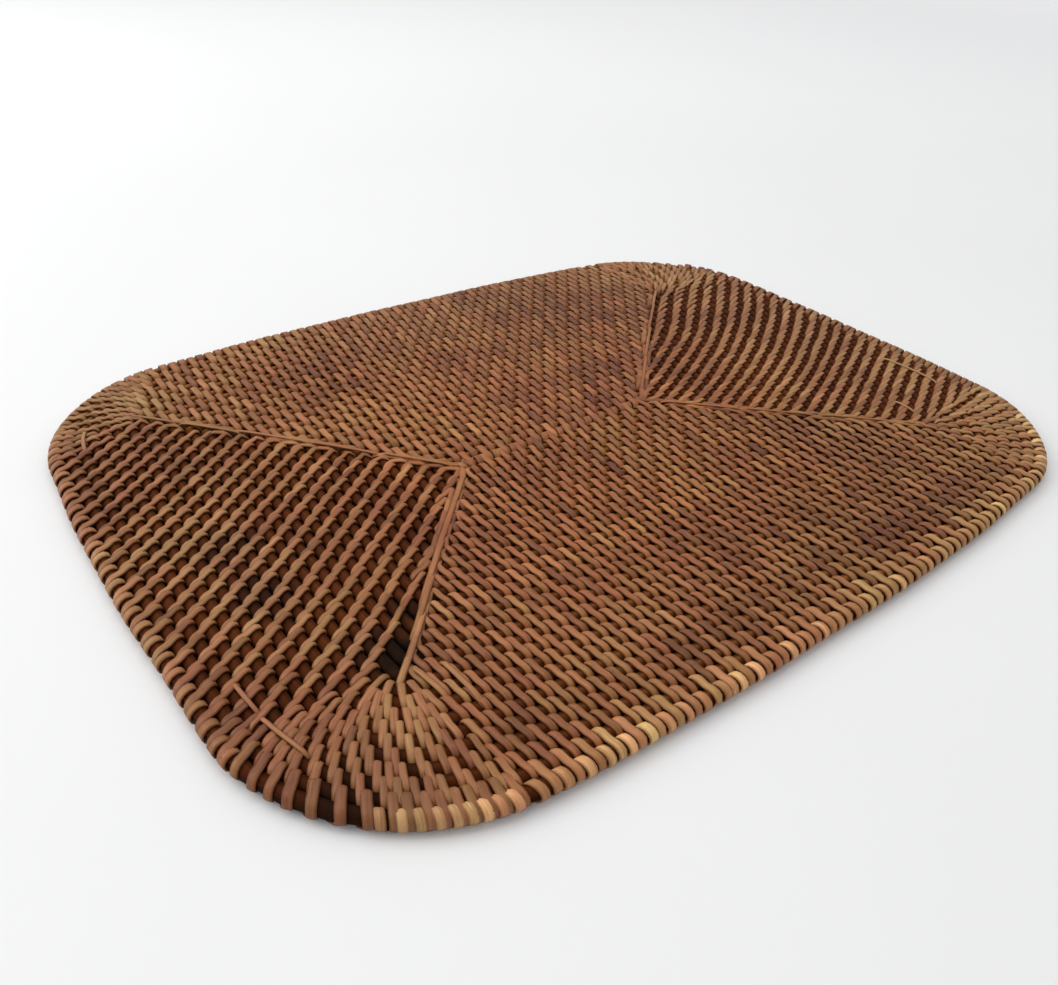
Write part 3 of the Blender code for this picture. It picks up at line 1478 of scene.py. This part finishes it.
LAID_STRANDS = (
    TopStrand(((-187.0, -61.0), (-186.6, -70.0), (-185.4, -79.0)), 1.5, 0.72),
    TopStrand(((-186.2, -77.0), (-184.0, -88.0), (-180.4, -99.5)), 1.6, 0.80),
    TopStrand(((-186.5, 84.0), (-184.5, 94.0), (-181.0, 103.0)), 1.5, 0.85),
    TopStrand(((181.5, -70.0), (182.0, -52.0), (180.5, -34.0)), 1.5, 0.80),
    TopStrand(((143.0, -82.0), (144.0, -66.0)), 1.5, 0.80),
    TopStrand(((-141.0, -84.0), (-139.6, -94.0), (-138.2, -104.0)), 2.0, 0.80),
    TopStrand(((-132.0, -88.0), (-131.4, -99.0), (-131.0, -112.0)), 2.0, 0.75),
)


@dataclass(frozen=True)
class MitreLine:
    """The shingled strands that close one mitre, each laid over the end of the one before.

    Attributes:
        corner: the corner that the mitre runs out to.
        first: where the line starts, in rounds from the spine.
        last: where it ends, in rounds from the spine.
        length: rounds that one strand crosses.
        step: rounds from the start of one strand to the start of the next.
        aside: how far the line lies outside the mitre, in millimetres.
        width: width of the strand, in millimetres.
        tone: how pale the strand is.
    """

    corner: Stretch
    first: float
    last: float
    length: float
    step: float
    aside: float
    width: float
    tone: float


MITRE_LINES = (
    MitreLine(Stretch.BACK_LEFT, 0.5, 20.0, 4.6, 3.9, 0.7, 1.5, 0.56),
    MitreLine(Stretch.FRONT_LEFT, 0.5, 16.6, 5.2, 2.7, -0.9, 2.3, 0.68),
    MitreLine(Stretch.FRONT_RIGHT, 0.5, 15.8, 5.0, 4.4, 0.3, 1.4, 0.66),
    MitreLine(Stretch.BACK_RIGHT, 0.5, 16.6, 5.0, 4.2, 0.4, 1.6, 0.66),
)


@dataclass(frozen=True)
class TopStrands(StrandWork):
    """Makes strands that lie over the finished weave, with both ends tucked down into it.

    Attributes:
        thickness: thickness of a laid strand.
        step: length of a step along it.
        clear: how high its middle line lies above the weave.
        wander: how far it wanders.
        crown: how much higher its middle is than its ends.
        tuck: how far its ends go down.
        bend_down: how far the steps beside its ends go down.
        least_steps: steps of the shortest strand.
        apart: how far apart the strands lie along the fibre's pattern.
        knots: points of a mitre strand.
        shortest: rounds that the last strand of a mitre crosses at least.
        length_spread, swing_spread, tone_spread: how much the mitre strands differ in each.
        slant: how far each end of a mitre strand swings aside, in millimetres.
        width_spread: how much the width of a strand differs along it.
        steps_a_cell: steps of a strand that share one cell of the map.
        cell_shape: length of their skin divided by its girth.
    """

    thickness: float = 0.60 * MM
    step: float = 2.6 * MM
    clear: float = 0.16 * MM
    wander: float = 0.04 * MM
    crown: float = 0.10 * MM
    tuck: float = 2.2 * MM
    bend_down: float = 0.40 * MM
    least_steps: int = 7
    apart: float = 0.31
    knots: int = 6
    shortest: float = 1.5
    length_spread: float = 0.05
    swing_spread: float = 0.35
    slant: float = 0.3
    tone_spread: float = 0.08
    width_spread: float = 0.03
    steps_a_cell: int = 8
    cell_shape: float = 21.0 / 5.0

    def mitre_strands(self, line: MitreLine, dice: np.random.RandomState) -> list[TopStrand]:
        """Sets out the shingled strands of one mitre.

        Args:
            line: the mitre.
            dice: seeded dice for small differences.

        Returns:
            The strands.
        """
        made = []
        first = line.first
        half_way = CORNER_START[line.corner] + 0.25 * math.pi
        while first < line.last - self.shortest:
            last = min(first + line.length * (1.0 + dice.normal(0.0, self.length_spread)), line.last)
            share = np.linspace(first, last, self.knots) / self.plan.rounds
            x, y, bend = self.plan.corner(line.corner, share)
            square = np.stack([x + bend * math.cos(half_way), y + bend * math.sin(half_way)], axis=1)
            along = unit(np.gradient(square, axis=0))
            swing = line.aside * MM * (1.0 + dice.normal(0.0, self.swing_spread))
            swing = swing + np.linspace(-self.slant, self.slant, self.knots) * MM
            points, _ = self.plan.bowed(square + square_to(along) * swing[:, None], along)
            tone = line.tone + dice.normal(0.0, self.tone_spread)
            made.append(TopStrand(tuple(map(tuple, points / MM)), line.width, tone))
            first += line.step
        return made

    def build(self, name: str, strands: list[TopStrand], dice: np.random.RandomState) -> bpy.types.Object:
        """Makes one object of several strands.

        Args:
            name: name of the object.
            strands: the strands, each laid over the one before it.
            dice: seeded dice for their small wander.

        Returns:
            The object that holds them.
        """
        mesher = StripMesher(name, self.steps_a_cell, self.cell_shape, "strand_place")
        top = self.size.middle + self.size.wrap + 0.5 * self.size.strand_thickness + self.clear
        started = 0.0
        for strand in strands:
            knots = np.array(strand.points) * MM
            gone = lengths_run(knots)
            count = max(self.least_steps, int(gone[-1] / self.step))
            at = np.linspace(0.0, gone[-1], count)
            degree = min(2, len(knots) - 1)
            plan = np.stack([np.polyval(np.polyfit(gone, knots[:, k], degree), at) for k in (0, 1)], axis=1)
            plan += dice.normal(0.0, self.wander, plan.shape)
            height = top + dice.normal(0.0, self.wander, count)
            height += self.crown * np.sin(np.linspace(0.0, math.pi, count))
            height[[0, -1]] -= self.tuck
            height[[1, -2]] -= self.bend_down
            aside = raised(square_to(unit(np.gradient(plan, axis=0))), 0.0)
            width = strand.width * MM * (1.0 + dice.normal(0.0, self.width_spread, count))
            thickness = np.full(count, self.thickness)
            rings, length = self.section.sweep(raised(plan, height), aside, width, thickness)
            mesher.add(rings, self.section.places(length + started, np.full(count, strand.tone)))
            started += self.apart
        return mesher.build()


class Wiring:
    """A small helper for laying out nodes in a tree.

    Attributes:
        columns: nodes in a row of the sheet.
        column_width: distance between the nodes of a row.
        row_height: distance between the rows.
    """

    columns = 12
    column_width = 220.0
    row_height = 260.0

    def __init__(self, tree: bpy.types.NodeTree) -> None:
        """Keeps the tree and counts the nodes for their places on the sheet."""
        self.tree = tree
        self.count = 0

    def add(self, kind: str, values: dict[str, object] | None = None, **settings: object) -> bpy.types.Node:
        """Adds a node.

        Args:
            kind: the node's type.
            values: constants or sockets for its inputs, by name or number.
            settings: properties of the node.

        Returns:
            The new node.
        """
        node = self.tree.nodes.new(kind)
        row, column = divmod(self.count, self.columns)
        node.location = (self.column_width * column, -self.row_height * row)
        self.count += 1
        for name, value in settings.items():
            setattr(node, name, value)
        for name, value in (values or {}).items():
            socket = node.inputs[name]
            if isinstance(value, bpy.types.NodeSocket):
                self.tree.links.new(value, socket)
            elif socket.type == "RGBA":
                socket.default_value = (*value[:3], 1.0)
            else:
                socket.default_value = value
        return node

    def math(self, operation: str, *values: object, clamp: bool = False) -> bpy.types.NodeSocket:
        """Adds a Math node with these inputs and gives its output."""
        inputs = dict(enumerate(values))
        return self.add("ShaderNodeMath", inputs, operation=operation, use_clamp=clamp).outputs[0]

    def total(self, *values: object, clamp: bool = False) -> bpy.types.NodeSocket:
        """Adds several values up.

        Args:
            values: the values, as constants or sockets.
            clamp: whether the sum is kept between 0 and 1.

        Returns:
            The sum.
        """
        found = values[0]
        for number, value in enumerate(values[1:], start=2):
            found = self.math("ADD", found, value, clamp=clamp and number == len(values))
        return found

    def noise(
        self, place: object, scale: object, detail: float, roughness: float = 0.5
    ) -> bpy.types.NodeSocket:
        """Adds a Noise Texture and gives its value."""
        values = {"Vector": place, "Scale": scale, "Detail": detail, "Roughness": roughness}
        return self.add("ShaderNodeTexNoise", values).outputs["Fac"]

    def mix(self, share: object, one: object, two: object, blend: str = "MIX") -> bpy.types.NodeSocket:
        """Adds a colour Mix node and gives its output."""
        values = {0: share, 6: one, 7: two}
        return self.add("ShaderNodeMix", values, data_type="RGBA", blend_type=blend).outputs[2]

    def ramp(self, value: object, stops: list[tuple[float, tuple[float, ...]]]) -> bpy.types.NodeSocket:
        """Adds a Color Ramp.

        Args:
            value: where along the ramp each point lies.
            stops: positions and colours.

        Returns:
            The colour.
        """
        node = self.add("ShaderNodeValToRGB", {0: value})
        elements = node.color_ramp.elements
        while len(elements) < len(stops):
            elements.new(0.5)
        for element, (position, colour) in zip(elements, stops):
            element.position = position
            element.color = (*colour, 1.0)
        return node.outputs[0]

    def window(
        self, value: object, low: float, high: float, out_low: float = 0.0, out_high: float = 1.0
    ) -> bpy.types.NodeSocket:
        """Adds a clamped Map Range node and gives its result."""
        inputs = {0: value, 1: low, 2: high, 3: out_low, 4: out_high}
        return self.add("ShaderNodeMapRange", inputs, clamp=True).outputs[0]

    def split(self, place: object) -> tuple[bpy.types.NodeSocket, ...]:
        """Adds a Separate XYZ node and gives its three outputs."""
        return tuple(self.add("ShaderNodeSeparateXYZ", {0: place}).outputs)

    def surface(self, values: dict[str, object]) -> None:
        """Adds a Principled shader with these inputs and joins it to the material's output."""
        shader = self.add("ShaderNodeBsdfPrincipled", values)
        self.add("ShaderNodeOutputMaterial", {0: shader.outputs[0]})


class Effects:
    """Shader node groups that more than one finish uses."""

    def __init__(self) -> None:
        """Builds each group once."""
        self.grain = self._grain()
        self.mottle = self._mottle()
        self.spots = self._spots()

    @staticmethod
    def _start(
        name: str, inputs: dict[str, float | None], outputs: tuple[str, ...]
    ) -> tuple[Wiring, bpy.types.Node]:
        """Starts a group.

        Args:
            name: name of the group.
            inputs: its inputs and their values. One without a value is a vector.
            outputs: its outputs, which are plain values.

        Returns:
            The group's wiring and its input node.
        """
        tree = bpy.data.node_groups.new(name, "ShaderNodeTree")
        for label, value in inputs.items():
            kind = "NodeSocketVector" if value is None else "NodeSocketFloat"
            socket = tree.interface.new_socket(label, in_out="INPUT", socket_type=kind)
            if value is not None:
                socket.default_value = value
        for label in outputs:
            tree.interface.new_socket(label, in_out="OUTPUT", socket_type="NodeSocketFloat")
        wiring = Wiring(tree)
        return wiring, wiring.add("NodeGroupInput")

    def _grain(self) -> bpy.types.NodeTree:
        """Makes the long fibres along the cane, with a finer streak over them.

        Returns:
            The group.
        """
        inputs = {"Place": None, "Along": 120.0, "Across": 5.0}
        wiring, source = self._start("cane_grain", inputs, ("Fibre", "Streak"))
        x, y, z = wiring.split(source.outputs["Place"])
        along = wiring.math("MULTIPLY", x, source.outputs["Along"])
        across = wiring.math("MULTIPLY", y, source.outputs["Across"])
        third = wiring.math("MULTIPLY", z, 37.0)
        place = wiring.add("ShaderNodeCombineXYZ", {0: along, 1: across, 2: third}).outputs[0]
        fibre = wiring.noise(place, 1.6, 4.0, 0.62)
        streak = wiring.noise(place, 0.35, 2.0)
        wiring.add("NodeGroupOutput", {"Fibre": fibre, "Streak": streak})
        return wiring.tree

    def _mottle(self) -> bpy.types.NodeTree:
        """Makes the broad patches of deeper and paler stain over the whole mat.

        Returns:
            The group.
        """
        wiring, source = self._start("stain_mottle", {"Scale": 14.0}, ("Patch",))
        place = wiring.add("ShaderNodeTexCoord").outputs["Object"]
        patch = wiring.noise(place, source.outputs["Scale"], 3.0, 0.55)
        wiring.add("NodeGroupOutput", {"Patch": patch})
        return wiring.tree

    def _spots(self) -> bpy.types.NodeTree:
        """Makes the soft dark places, where the stain ran together and where shade is painted into the bare
        gaps beside the front-left mitre, the drift of the dye across the mat, and a band of painted shade.

        Returns:
            The group.
        """
        wiring, _ = self._start("stain_and_shade_spots", {}, ("Dark", "Drift", "Dusk", "Ends"))
        place = wiring.add("ShaderNodeTexCoord").outputs["Object"]
        wander = wiring.window(wiring.noise(place, 90.0, 2.0), 0.3, 0.7, -4.0 * MM, 4.0 * MM)
        dark = 0.0
        for spot in STAIN_AND_SHADE_SPOTS:
            centre = (spot.x * MM, spot.y * MM, 0.0)
            away = wiring.add("ShaderNodeVectorMath", {0: place, 1: centre}, operation="DISTANCE")
            away = wiring.math("ADD", away.outputs["Value"], wander)
            shade = wiring.window(away, 0.5 * spot.radius * MM, spot.radius * MM, spot.strength, 0.0)
            dark = wiring.math("MAXIMUM", shade, dark)
        x, y, _ = wiring.split(place)
        # How near a point is to the ends and the outer rounds.
        off_middle = wiring.window(wiring.math("ABSOLUTE", x), 0.07, 0.16)
        off_spine = wiring.window(wiring.math("ABSOLUTE", y), 0.07, 0.12, 0.0, 0.75)
        ends = wiring.math("MAXIMUM", off_middle, off_spine)
        # The stitches turn greener from left to right, and toward the ends.
        drift = wiring.window(x, -0.2, 0.2, -0.12, 0.22)
        drift = wiring.math("ADD", drift, wiring.window(ends, 0.0, 1.0, -0.22, 0.08))
        # Painted shade: a darker band lies a little to the right of the middle.
        rising = wiring.window(x, -0.04, 0.04, 0.0, 0.10)
        falling = wiring.window(x, 0.09, 0.15, 0.10, -0.02)
        painted_shade_band = wiring.math("MINIMUM", rising, falling)
        wiring.add("NodeGroupOutput", {"Dark": dark, "Drift": drift, "Dusk": painted_shade_band, "Ends": ends})
        return wiring.tree


def start_material(name: str) -> tuple[bpy.types.Material, Wiring]:
    """Starts an empty node material.

    Args:
        name: name of the material.

    Returns:
        The material, and the wiring of its nodes.
    """
    material = bpy.data.materials.new(name)
    material.use_nodes = True
    material.node_tree.nodes.clear()
    return material, Wiring(material.node_tree)


@dataclass(frozen=True)
class StainAndShadeSpot:
    """A soft round darker place, of darker stain for most and of painted shade for some: middle and radius
    in millimetres, strength from 0 to 1.
    """

    x: float
    y: float
    radius: float
    strength: float


STAIN_AND_SHADE_SPOTS = (
    StainAndShadeSpot(-163.0, 0.0, 17.0, 0.75),
    StainAndShadeSpot(-164.0, -30.0, 15.0, 0.80),
    StainAndShadeSpot(-158.0, -45.0, 10.0, 0.60),
    # Painted shade: these three spots along the front-left mitre darken the bare gaps there, where shade
    # falls; the rest are darker stain.
    StainAndShadeSpot(-143.0, -77.0, 17.0, 1.0),
    StainAndShadeSpot(-131.0, -63.0, 9.0, 0.8),
    StainAndShadeSpot(-120.0, -52.0, 8.0, 0.6),
    StainAndShadeSpot(-178.0, 10.0, 11.0, 0.55),
    StainAndShadeSpot(-3.0, -13.0, 6.0, 0.70),
    StainAndShadeSpot(-24.0, -17.0, 5.0, 0.50),
    StainAndShadeSpot(-186.0, -100.0, 12.0, 0.50),
    StainAndShadeSpot(90.0, -70.0, 36.0, 0.72),
    StainAndShadeSpot(28.0, -72.0, 34.0, 0.22),
    StainAndShadeSpot(-170.0, 122.0, 30.0, 0.35),
    StainAndShadeSpot(-180.0, -126.0, 30.0, 0.90),
)


@dataclass(frozen=True)
class SplitRattanFinish:
    """The binding strand: honey-brown split rattan with long fibres, edges painted darker as shade, and a
    satin skin.

    Attributes:
        effects: the shared node groups.
        dark: colour of the darkest strands, of the painted shade on the strand edges, and of the dark spots
            of stain and painted shade.
        middle: colour of an ordinary strand.
        pale: colour of a pale strand.
        gold: colour of the palest strands.
        red: cast of the redder stitches.
        olive: cast of the greener stitches.
        middle_cast: warmer cast over the middle of the mat, where no sheen is painted.
        end_sheen_cast: greyer, bluer cast over its ends, a painted sheen.
        roughness: roughness of the skin.
    """

    effects: Effects
    dark: tuple[float, float, float] = (0.100, 0.027, 0.0055)
    middle: tuple[float, float, float] = (0.248, 0.096, 0.028)
    pale: tuple[float, float, float] = (0.385, 0.190, 0.074)
    gold: tuple[float, float, float] = (0.680, 0.400, 0.175)
    red: tuple[float, float, float] = (1.06, 0.86, 0.84)
    olive: tuple[float, float, float] = (0.93, 1.04, 0.80)
    middle_cast: tuple[float, float, float] = (1.06, 0.97, 0.77)
    end_sheen_cast: tuple[float, float, float] = (0.99, 1.03, 1.17)
    roughness: float = 0.48

    def make(self) -> bpy.types.Material:
        """Builds the material.

        Returns:
            The finished material.
        """
        material, wiring = start_material("split_rattan")
        place = wiring.add("ShaderNodeAttribute", attribute_name="strand_place").outputs["Vector"]
        _, across, tone = wiring.split(place)
        values = {"Place": place, "Along": 150.0, "Across": 7.0}
        grain = wiring.add("ShaderNodeGroup", values, node_tree=self.effects.grain).outputs
        patch = wiring.add("ShaderNodeGroup", node_tree=self.effects.mottle).outputs["Patch"]
        spots = wiring.add("ShaderNodeGroup", node_tree=self.effects.spots).outputs
        value = wiring.total(
            wiring.math("MULTIPLY_ADD", tone, 0.60, 0.075),
            wiring.window(grain["Fibre"], 0.3, 0.7, -0.12, 0.12),
            wiring.window(grain["Streak"], 0.3, 0.7, -0.09, 0.09),
            wiring.window(patch, 0.32, 0.68, -0.14, 0.12),
        )
        # Painted shade: the darker band right of the middle is taken off the value.
        value = wiring.math("SUBTRACT", value, spots["Dusk"])
        stops = [(0.06, self.dark), (0.375, self.middle), (0.70, self.pale), (0.96, self.gold)]
        colour = wiring.ramp(value, stops)
        chance = wiring.add("ShaderNodeTexWhiteNoise", {"W": tone}, noise_dimensions="1D").outputs["Value"]
        drift = wiring.window(patch, 0.3, 0.7, -0.35, 0.35)
        cast = wiring.mix(wiring.total(chance, spots["Drift"], drift, clamp=True), self.red, self.olive)
        colour = wiring.mix(1.0, colour, cast, "MULTIPLY")
        # Painted sheen: the ends and outer rounds are cast greyer and bluer, the middle warmer.
        cast = wiring.mix(spots["Ends"], self.middle_cast, self.end_sheen_cast)
        colour = wiring.mix(1.0, colour, cast, "MULTIPLY")
        # Painted shade: the sides of each strand are darkened toward the dark colour, as shade would darken
        # them.
        edge_shade = wiring.window(wiring.math("ABSOLUTE", across), 0.26, 0.50, 0.0, 0.75)
        colour = wiring.mix(edge_shade, colour, self.dark)
        # The dark spots, of stain and of painted shade, darken the strand a little.
        colour = wiring.mix(wiring.math("MULTIPLY", spots["Dark"], 0.45), colour, self.dark)
        rough = wiring.window(grain["Fibre"], 0.2, 0.8, self.roughness - 0.08, self.roughness + 0.14)
        bump = wiring.add("ShaderNodeBump", {"Strength": 0.40, "Distance": 0.0002, "Height": grain["Fibre"]})
        wiring.surface(
            {
                "Base Color": colour,
                "Roughness": rough,
                "Normal": bump.outputs["Normal"],
                "IOR": 1.45,
                "Specular IOR Level": 0.38,
            }
        )
        return material


@dataclass(frozen=True)
class StainedCaneFinish:
    """The core cane: stained dark, painted lighter red-brown along its crest and darker down its sides as
    light and shade, with fine grain and a dull skin.

    Attributes:
        effects: the shared node groups.
        deep_and_shaded: colour of the deepest stain, also painted on the lower sides of the cane as shade.
        worn_and_lit: colour where the stain wore thin, also painted on the top of the cane as light.
        soot_and_shade: colour of the dark spots, of darker stain and of painted shade in the bare gaps
            beside the front-left mitre.
        warm_shaded_side: colour of the lower sides of the cane, painted as shade, where the stain is light
            and warm.
        warm_lit_crest: colour of the lit crest there, a painted highlight.
        crest_foot: height at which the lit crest starts, above the middle of the cane.
        crest_top: height at which it is full.
        sheen: tint of the reflection.
        roughness: roughness of the skin.
    """

    effects: Effects
    deep_and_shaded: tuple[float, float, float] = (0.017, 0.0040, 0.0014)
    worn_and_lit: tuple[float, float, float] = (0.100, 0.024, 0.0050)
    soot_and_shade: tuple[float, float, float] = (0.009, 0.0040, 0.0026)
    warm_shaded_side: tuple[float, float, float] = (0.042, 0.0110, 0.0020)
    warm_lit_crest: tuple[float, float, float] = (0.270, 0.105, 0.0280)
    crest_foot: float = 1.62 * MM
    crest_top: float = 2.42 * MM
    sheen: tuple[float, float, float] = (1.0, 0.55, 0.32)
    roughness: float = 0.62

    def make(self) -> bpy.types.Material:
        """Builds the material.

        Returns:
            The finished material.
        """
        material, wiring = start_material("stained_cane")
        place = wiring.add("ShaderNodeAttribute", attribute_name="cane_place").outputs["Vector"]
        warmth = wiring.add("ShaderNodeAttribute", attribute_name="stain_warmth").outputs["Fac"]
        height = wiring.split(place)[2]
        values = {"Place": place, "Along": 90.0, "Across": 2600.0}
        grain = wiring.add("ShaderNodeGroup", values, node_tree=self.effects.grain).outputs
        patch = wiring.add("ShaderNodeGroup", node_tree=self.effects.mottle).outputs["Patch"]
        spots = wiring.add("ShaderNodeGroup", node_tree=self.effects.spots).outputs
        # Painted light: the upper part of the cane is painted lighter, as light from above would make it.
        value = wiring.total(
            wiring.window(grain["Fibre"], 0.3, 0.7, -0.22, 0.22),
            wiring.window(patch, 0.3, 0.7, -0.22, 0.26),
            wiring.window(height, 0.6 * MM, 2.3 * MM, 0.0, 0.50),
            clamp=True,
        )
        cool = wiring.ramp(value, [(0.0, self.deep_and_shaded), (0.85, self.worn_and_lit)])
        # Painted light and shade: the crest takes the warm lit colour, the lower sides the warm shaded one.
        crest = wiring.window(height, self.crest_foot, self.crest_top)
        crest = wiring.total(crest, wiring.window(value, 0.0, 0.85, -0.22, 0.22), clamp=True)
        warm = wiring.ramp(crest, [(0.12, self.warm_shaded_side), (0.95, self.warm_lit_crest)])
        colour = wiring.mix(warmth, cool, warm)
        # The dark spots: darker stain, and painted shade in the bare gaps beside the front-left mitre.
        colour = wiring.mix(spots["Dark"], colour, self.soot_and_shade)
        rough = wiring.window(grain["Fibre"], 0.2, 0.8, self.roughness - 0.08, self.roughness + 0.12)
        bump = wiring.add("ShaderNodeBump", {"Strength": 0.3, "Distance": 0.0002, "Height": grain["Fibre"]})
        wiring.surface(
            {
                "Base Color": colour,
                "Roughness": rough,
                "Normal": bump.outputs["Normal"],
                "IOR": 1.45,
                "Specular IOR Level": 0.06,
                "Specular Tint": self.sheen,
            }
        )
        return material


@dataclass(frozen=True)
class FloorFinish:
    """A plain pale floor with the faintest unevenness, painted paler far from the mat as painted light.

    Attributes:
        near: colour round the mat.
        far: colour far from it, painted paler there as painted light.
    """

    near: tuple[float, float, float] = (0.690, 0.690, 0.686)
    far: tuple[float, float, float] = (0.93, 0.93, 0.93)

    def make(self) -> bpy.types.Material:
        """Builds the material.

        Returns:
            The finished material.
        """
        material, wiring = start_material("pale_floor")
        place = wiring.add("ShaderNodeTexCoord").outputs["Object"]
        away = wiring.add("ShaderNodeVectorMath", {0: place}, operation="LENGTH").outputs["Value"]
        low = tuple(0.98 * c for c in self.near)
        colour = wiring.ramp(wiring.noise(place, 3.0, 3.0), [(0.3, low), (0.7, self.near)])
        # Painted light: the floor is painted paler with distance from the mat.
        colour = wiring.mix(wiring.window(away, 0.45, 2.4), colour, self.far)
        wiring.surface({"Base Color": colour, "Roughness": 0.6})
        return material


@dataclass(frozen=True)
class Studio:
    """Floor, soft lights and camera.

    Attributes:
        middle_radius: radius of the floor's middle part.
        floor_radius: radius of the whole flat floor.
        sweep_radius: radius of the sweep round it.
        lens: focal length of the camera, in millimetres.
        camera_place: where the camera stands, in metres.
        camera_turn: how it is turned about x, y and z, in radians.
    """

    middle_radius: float = 0.8
    floor_radius: float = 2.2
    sweep_radius: float = 1.6
    lens: float = 30.17
    camera_place: tuple[float, float, float] = (-0.2389, -0.2511, 0.2061)
    camera_turn: tuple[float, float, float] = (0.9592, -0.0627, -0.6590)

    def build(self) -> None:
        """Sets up everything round the mat."""
        self.floor()
        self.light("key_light", (-1.20, 0.95, 0.95), 1.1, 17.0)
        self.light("top_light", (0.10, 0.60, 1.50), 1.6, 10.0)
        self.sky()
        self.camera()

    def floor(self) -> bpy.types.Object:
        """Makes the floor under the mat, which sweeps up all round far from it.

        Returns:
            The floor's object.
        """
        turn = np.linspace(0.0, 2.0 * math.pi, 64, endpoint=False)
        rise = np.linspace(0.0, 0.5 * math.pi, 10)
        swept = self.floor_radius + self.sweep_radius * np.sin(rise)
        radius = np.concatenate([[self.middle_radius], swept])[:, None]
        level = np.concatenate([[0.0], self.sweep_radius * (1.0 - np.cos(rise))])[:, None]
        rings = stacked(radius * np.cos(turn)[None, :], radius * np.sin(turn)[None, :], level)
        index = np.arange(rings.shape[0] * rings.shape[1]).reshape(rings.shape[:2])
        sides = ring_faces(index)[:, ::-1].tolist()
        made = placed("floor", smooth_mesh("floor", rings, [index[0].tolist()] + sides))
        made.data.materials.append(FloorFinish().make())
        return made

    @staticmethod
    def light(name: str, place: tuple[float, float, float], size: float, power: float) -> bpy.types.Object:
        """Hangs one soft square light that faces the mat.

        Args:
            name: name of the light.
            place: where it hangs, in metres.
            size: length of its side.
            power: its power in watts.

        Returns:
            The light's object.
        """
        lamp = bpy.data.lights.new(name, "AREA")
        lamp.shape = "SQUARE"
        lamp.size = size
        lamp.energy = power
        made = placed(name, lamp)
        made.location = place
        away = unit(np.array(place))
        made.rotation_euler = (math.acos(away[2]), 0.0, math.atan2(away[0], -away[1]))
        return made

    @staticmethod
    def sky() -> None:
        """Surrounds the scene with even pale light."""
        world = bpy.data.worlds.new("studio")
        world.use_nodes = True
        back = world.node_tree.nodes["Background"]
        back.inputs[0].default_value = (0.98, 0.985, 1.0, 1.0)
        back.inputs[1].default_value = 0.80
        bpy.context.scene.world = world

    def camera(self) -> bpy.types.Object:
        """Places the camera and looks through it.

        Returns:
            The camera's object.
        """
        camera = bpy.data.cameras.new("camera")
        camera.lens = self.lens
        camera.sensor_width = 36.0
        camera.sensor_fit = "HORIZONTAL"
        camera.clip_start = 0.01
        camera.clip_end = 50.0
        made = placed("camera", camera)
        made.location = self.camera_place
        made.rotation_euler = self.camera_turn
        bpy.context.scene.camera = made
        bpy.context.scene.view_settings.view_transform = "Standard"
        bpy.context.scene.view_settings.look = "None"
        return made


def dress(piece: bpy.types.Object, finish: bpy.types.Material) -> None:
    """Gives one finished piece its material and body, and reports it.

    Args:
        piece: the piece.
        finish: its material.
    """
    piece.data.materials.append(finish)
    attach(piece, "root")
    LOG.info("%s: %d vertices, %d faces", piece.name, len(piece.data.vertices), len(piece.data.polygons))


def main() -> None:
    """Builds the mat, dresses it and sets up the studio."""
    logging.basicConfig(level=logging.INFO, format="%(name)s %(message)s")
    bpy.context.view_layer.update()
    low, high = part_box("mat")
    plan = MatPlan(half_length=0.5 * (high[0] - low[0]), half_width=0.5 * (high[1] - low[1]))
    size = CaneSize()
    section = StrandSection()
    effects = Effects()
    core = CoreCane(plan, size).build()
    dress(core, StainedCaneFinish(effects).make())
    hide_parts("mat")
    dice = np.random.RandomState(SEED)
    rows = StitchMarch(plan, dice).rows()
    LOG.info("%d stitches", sum(len(row.run) for row in rows))
    binding = BindingStrand(plan, size, section, rows, CoilEnd(plan, size))
    groups = enumerate(zip(BINDING_TURNS[:-1], BINDING_TURNS[1:]), start=1)
    bound = [binding.build(f"binding_{number}", first, last, dice) for number, (first, last) in groups]
    rim = RimWraps(plan, size, section, rows[-1])
    bound += [rim.build(span, dice) for span in RIM_SPANS]
    top = TopStrands(plan, size, section)
    mitres = [strand for line in MITRE_LINES for strand in top.mitre_strands(line, dice)]
    bound.append(top.build("mitre_strands", mitres, dice))
    bound.append(top.build("laid_strands", list(LAID_STRANDS), dice))
    honey = SplitRattanFinish(effects).make()
    for piece in bound:
        dress(piece, honey)
    Studio().build()


if __name__ == "__main__":
    main()
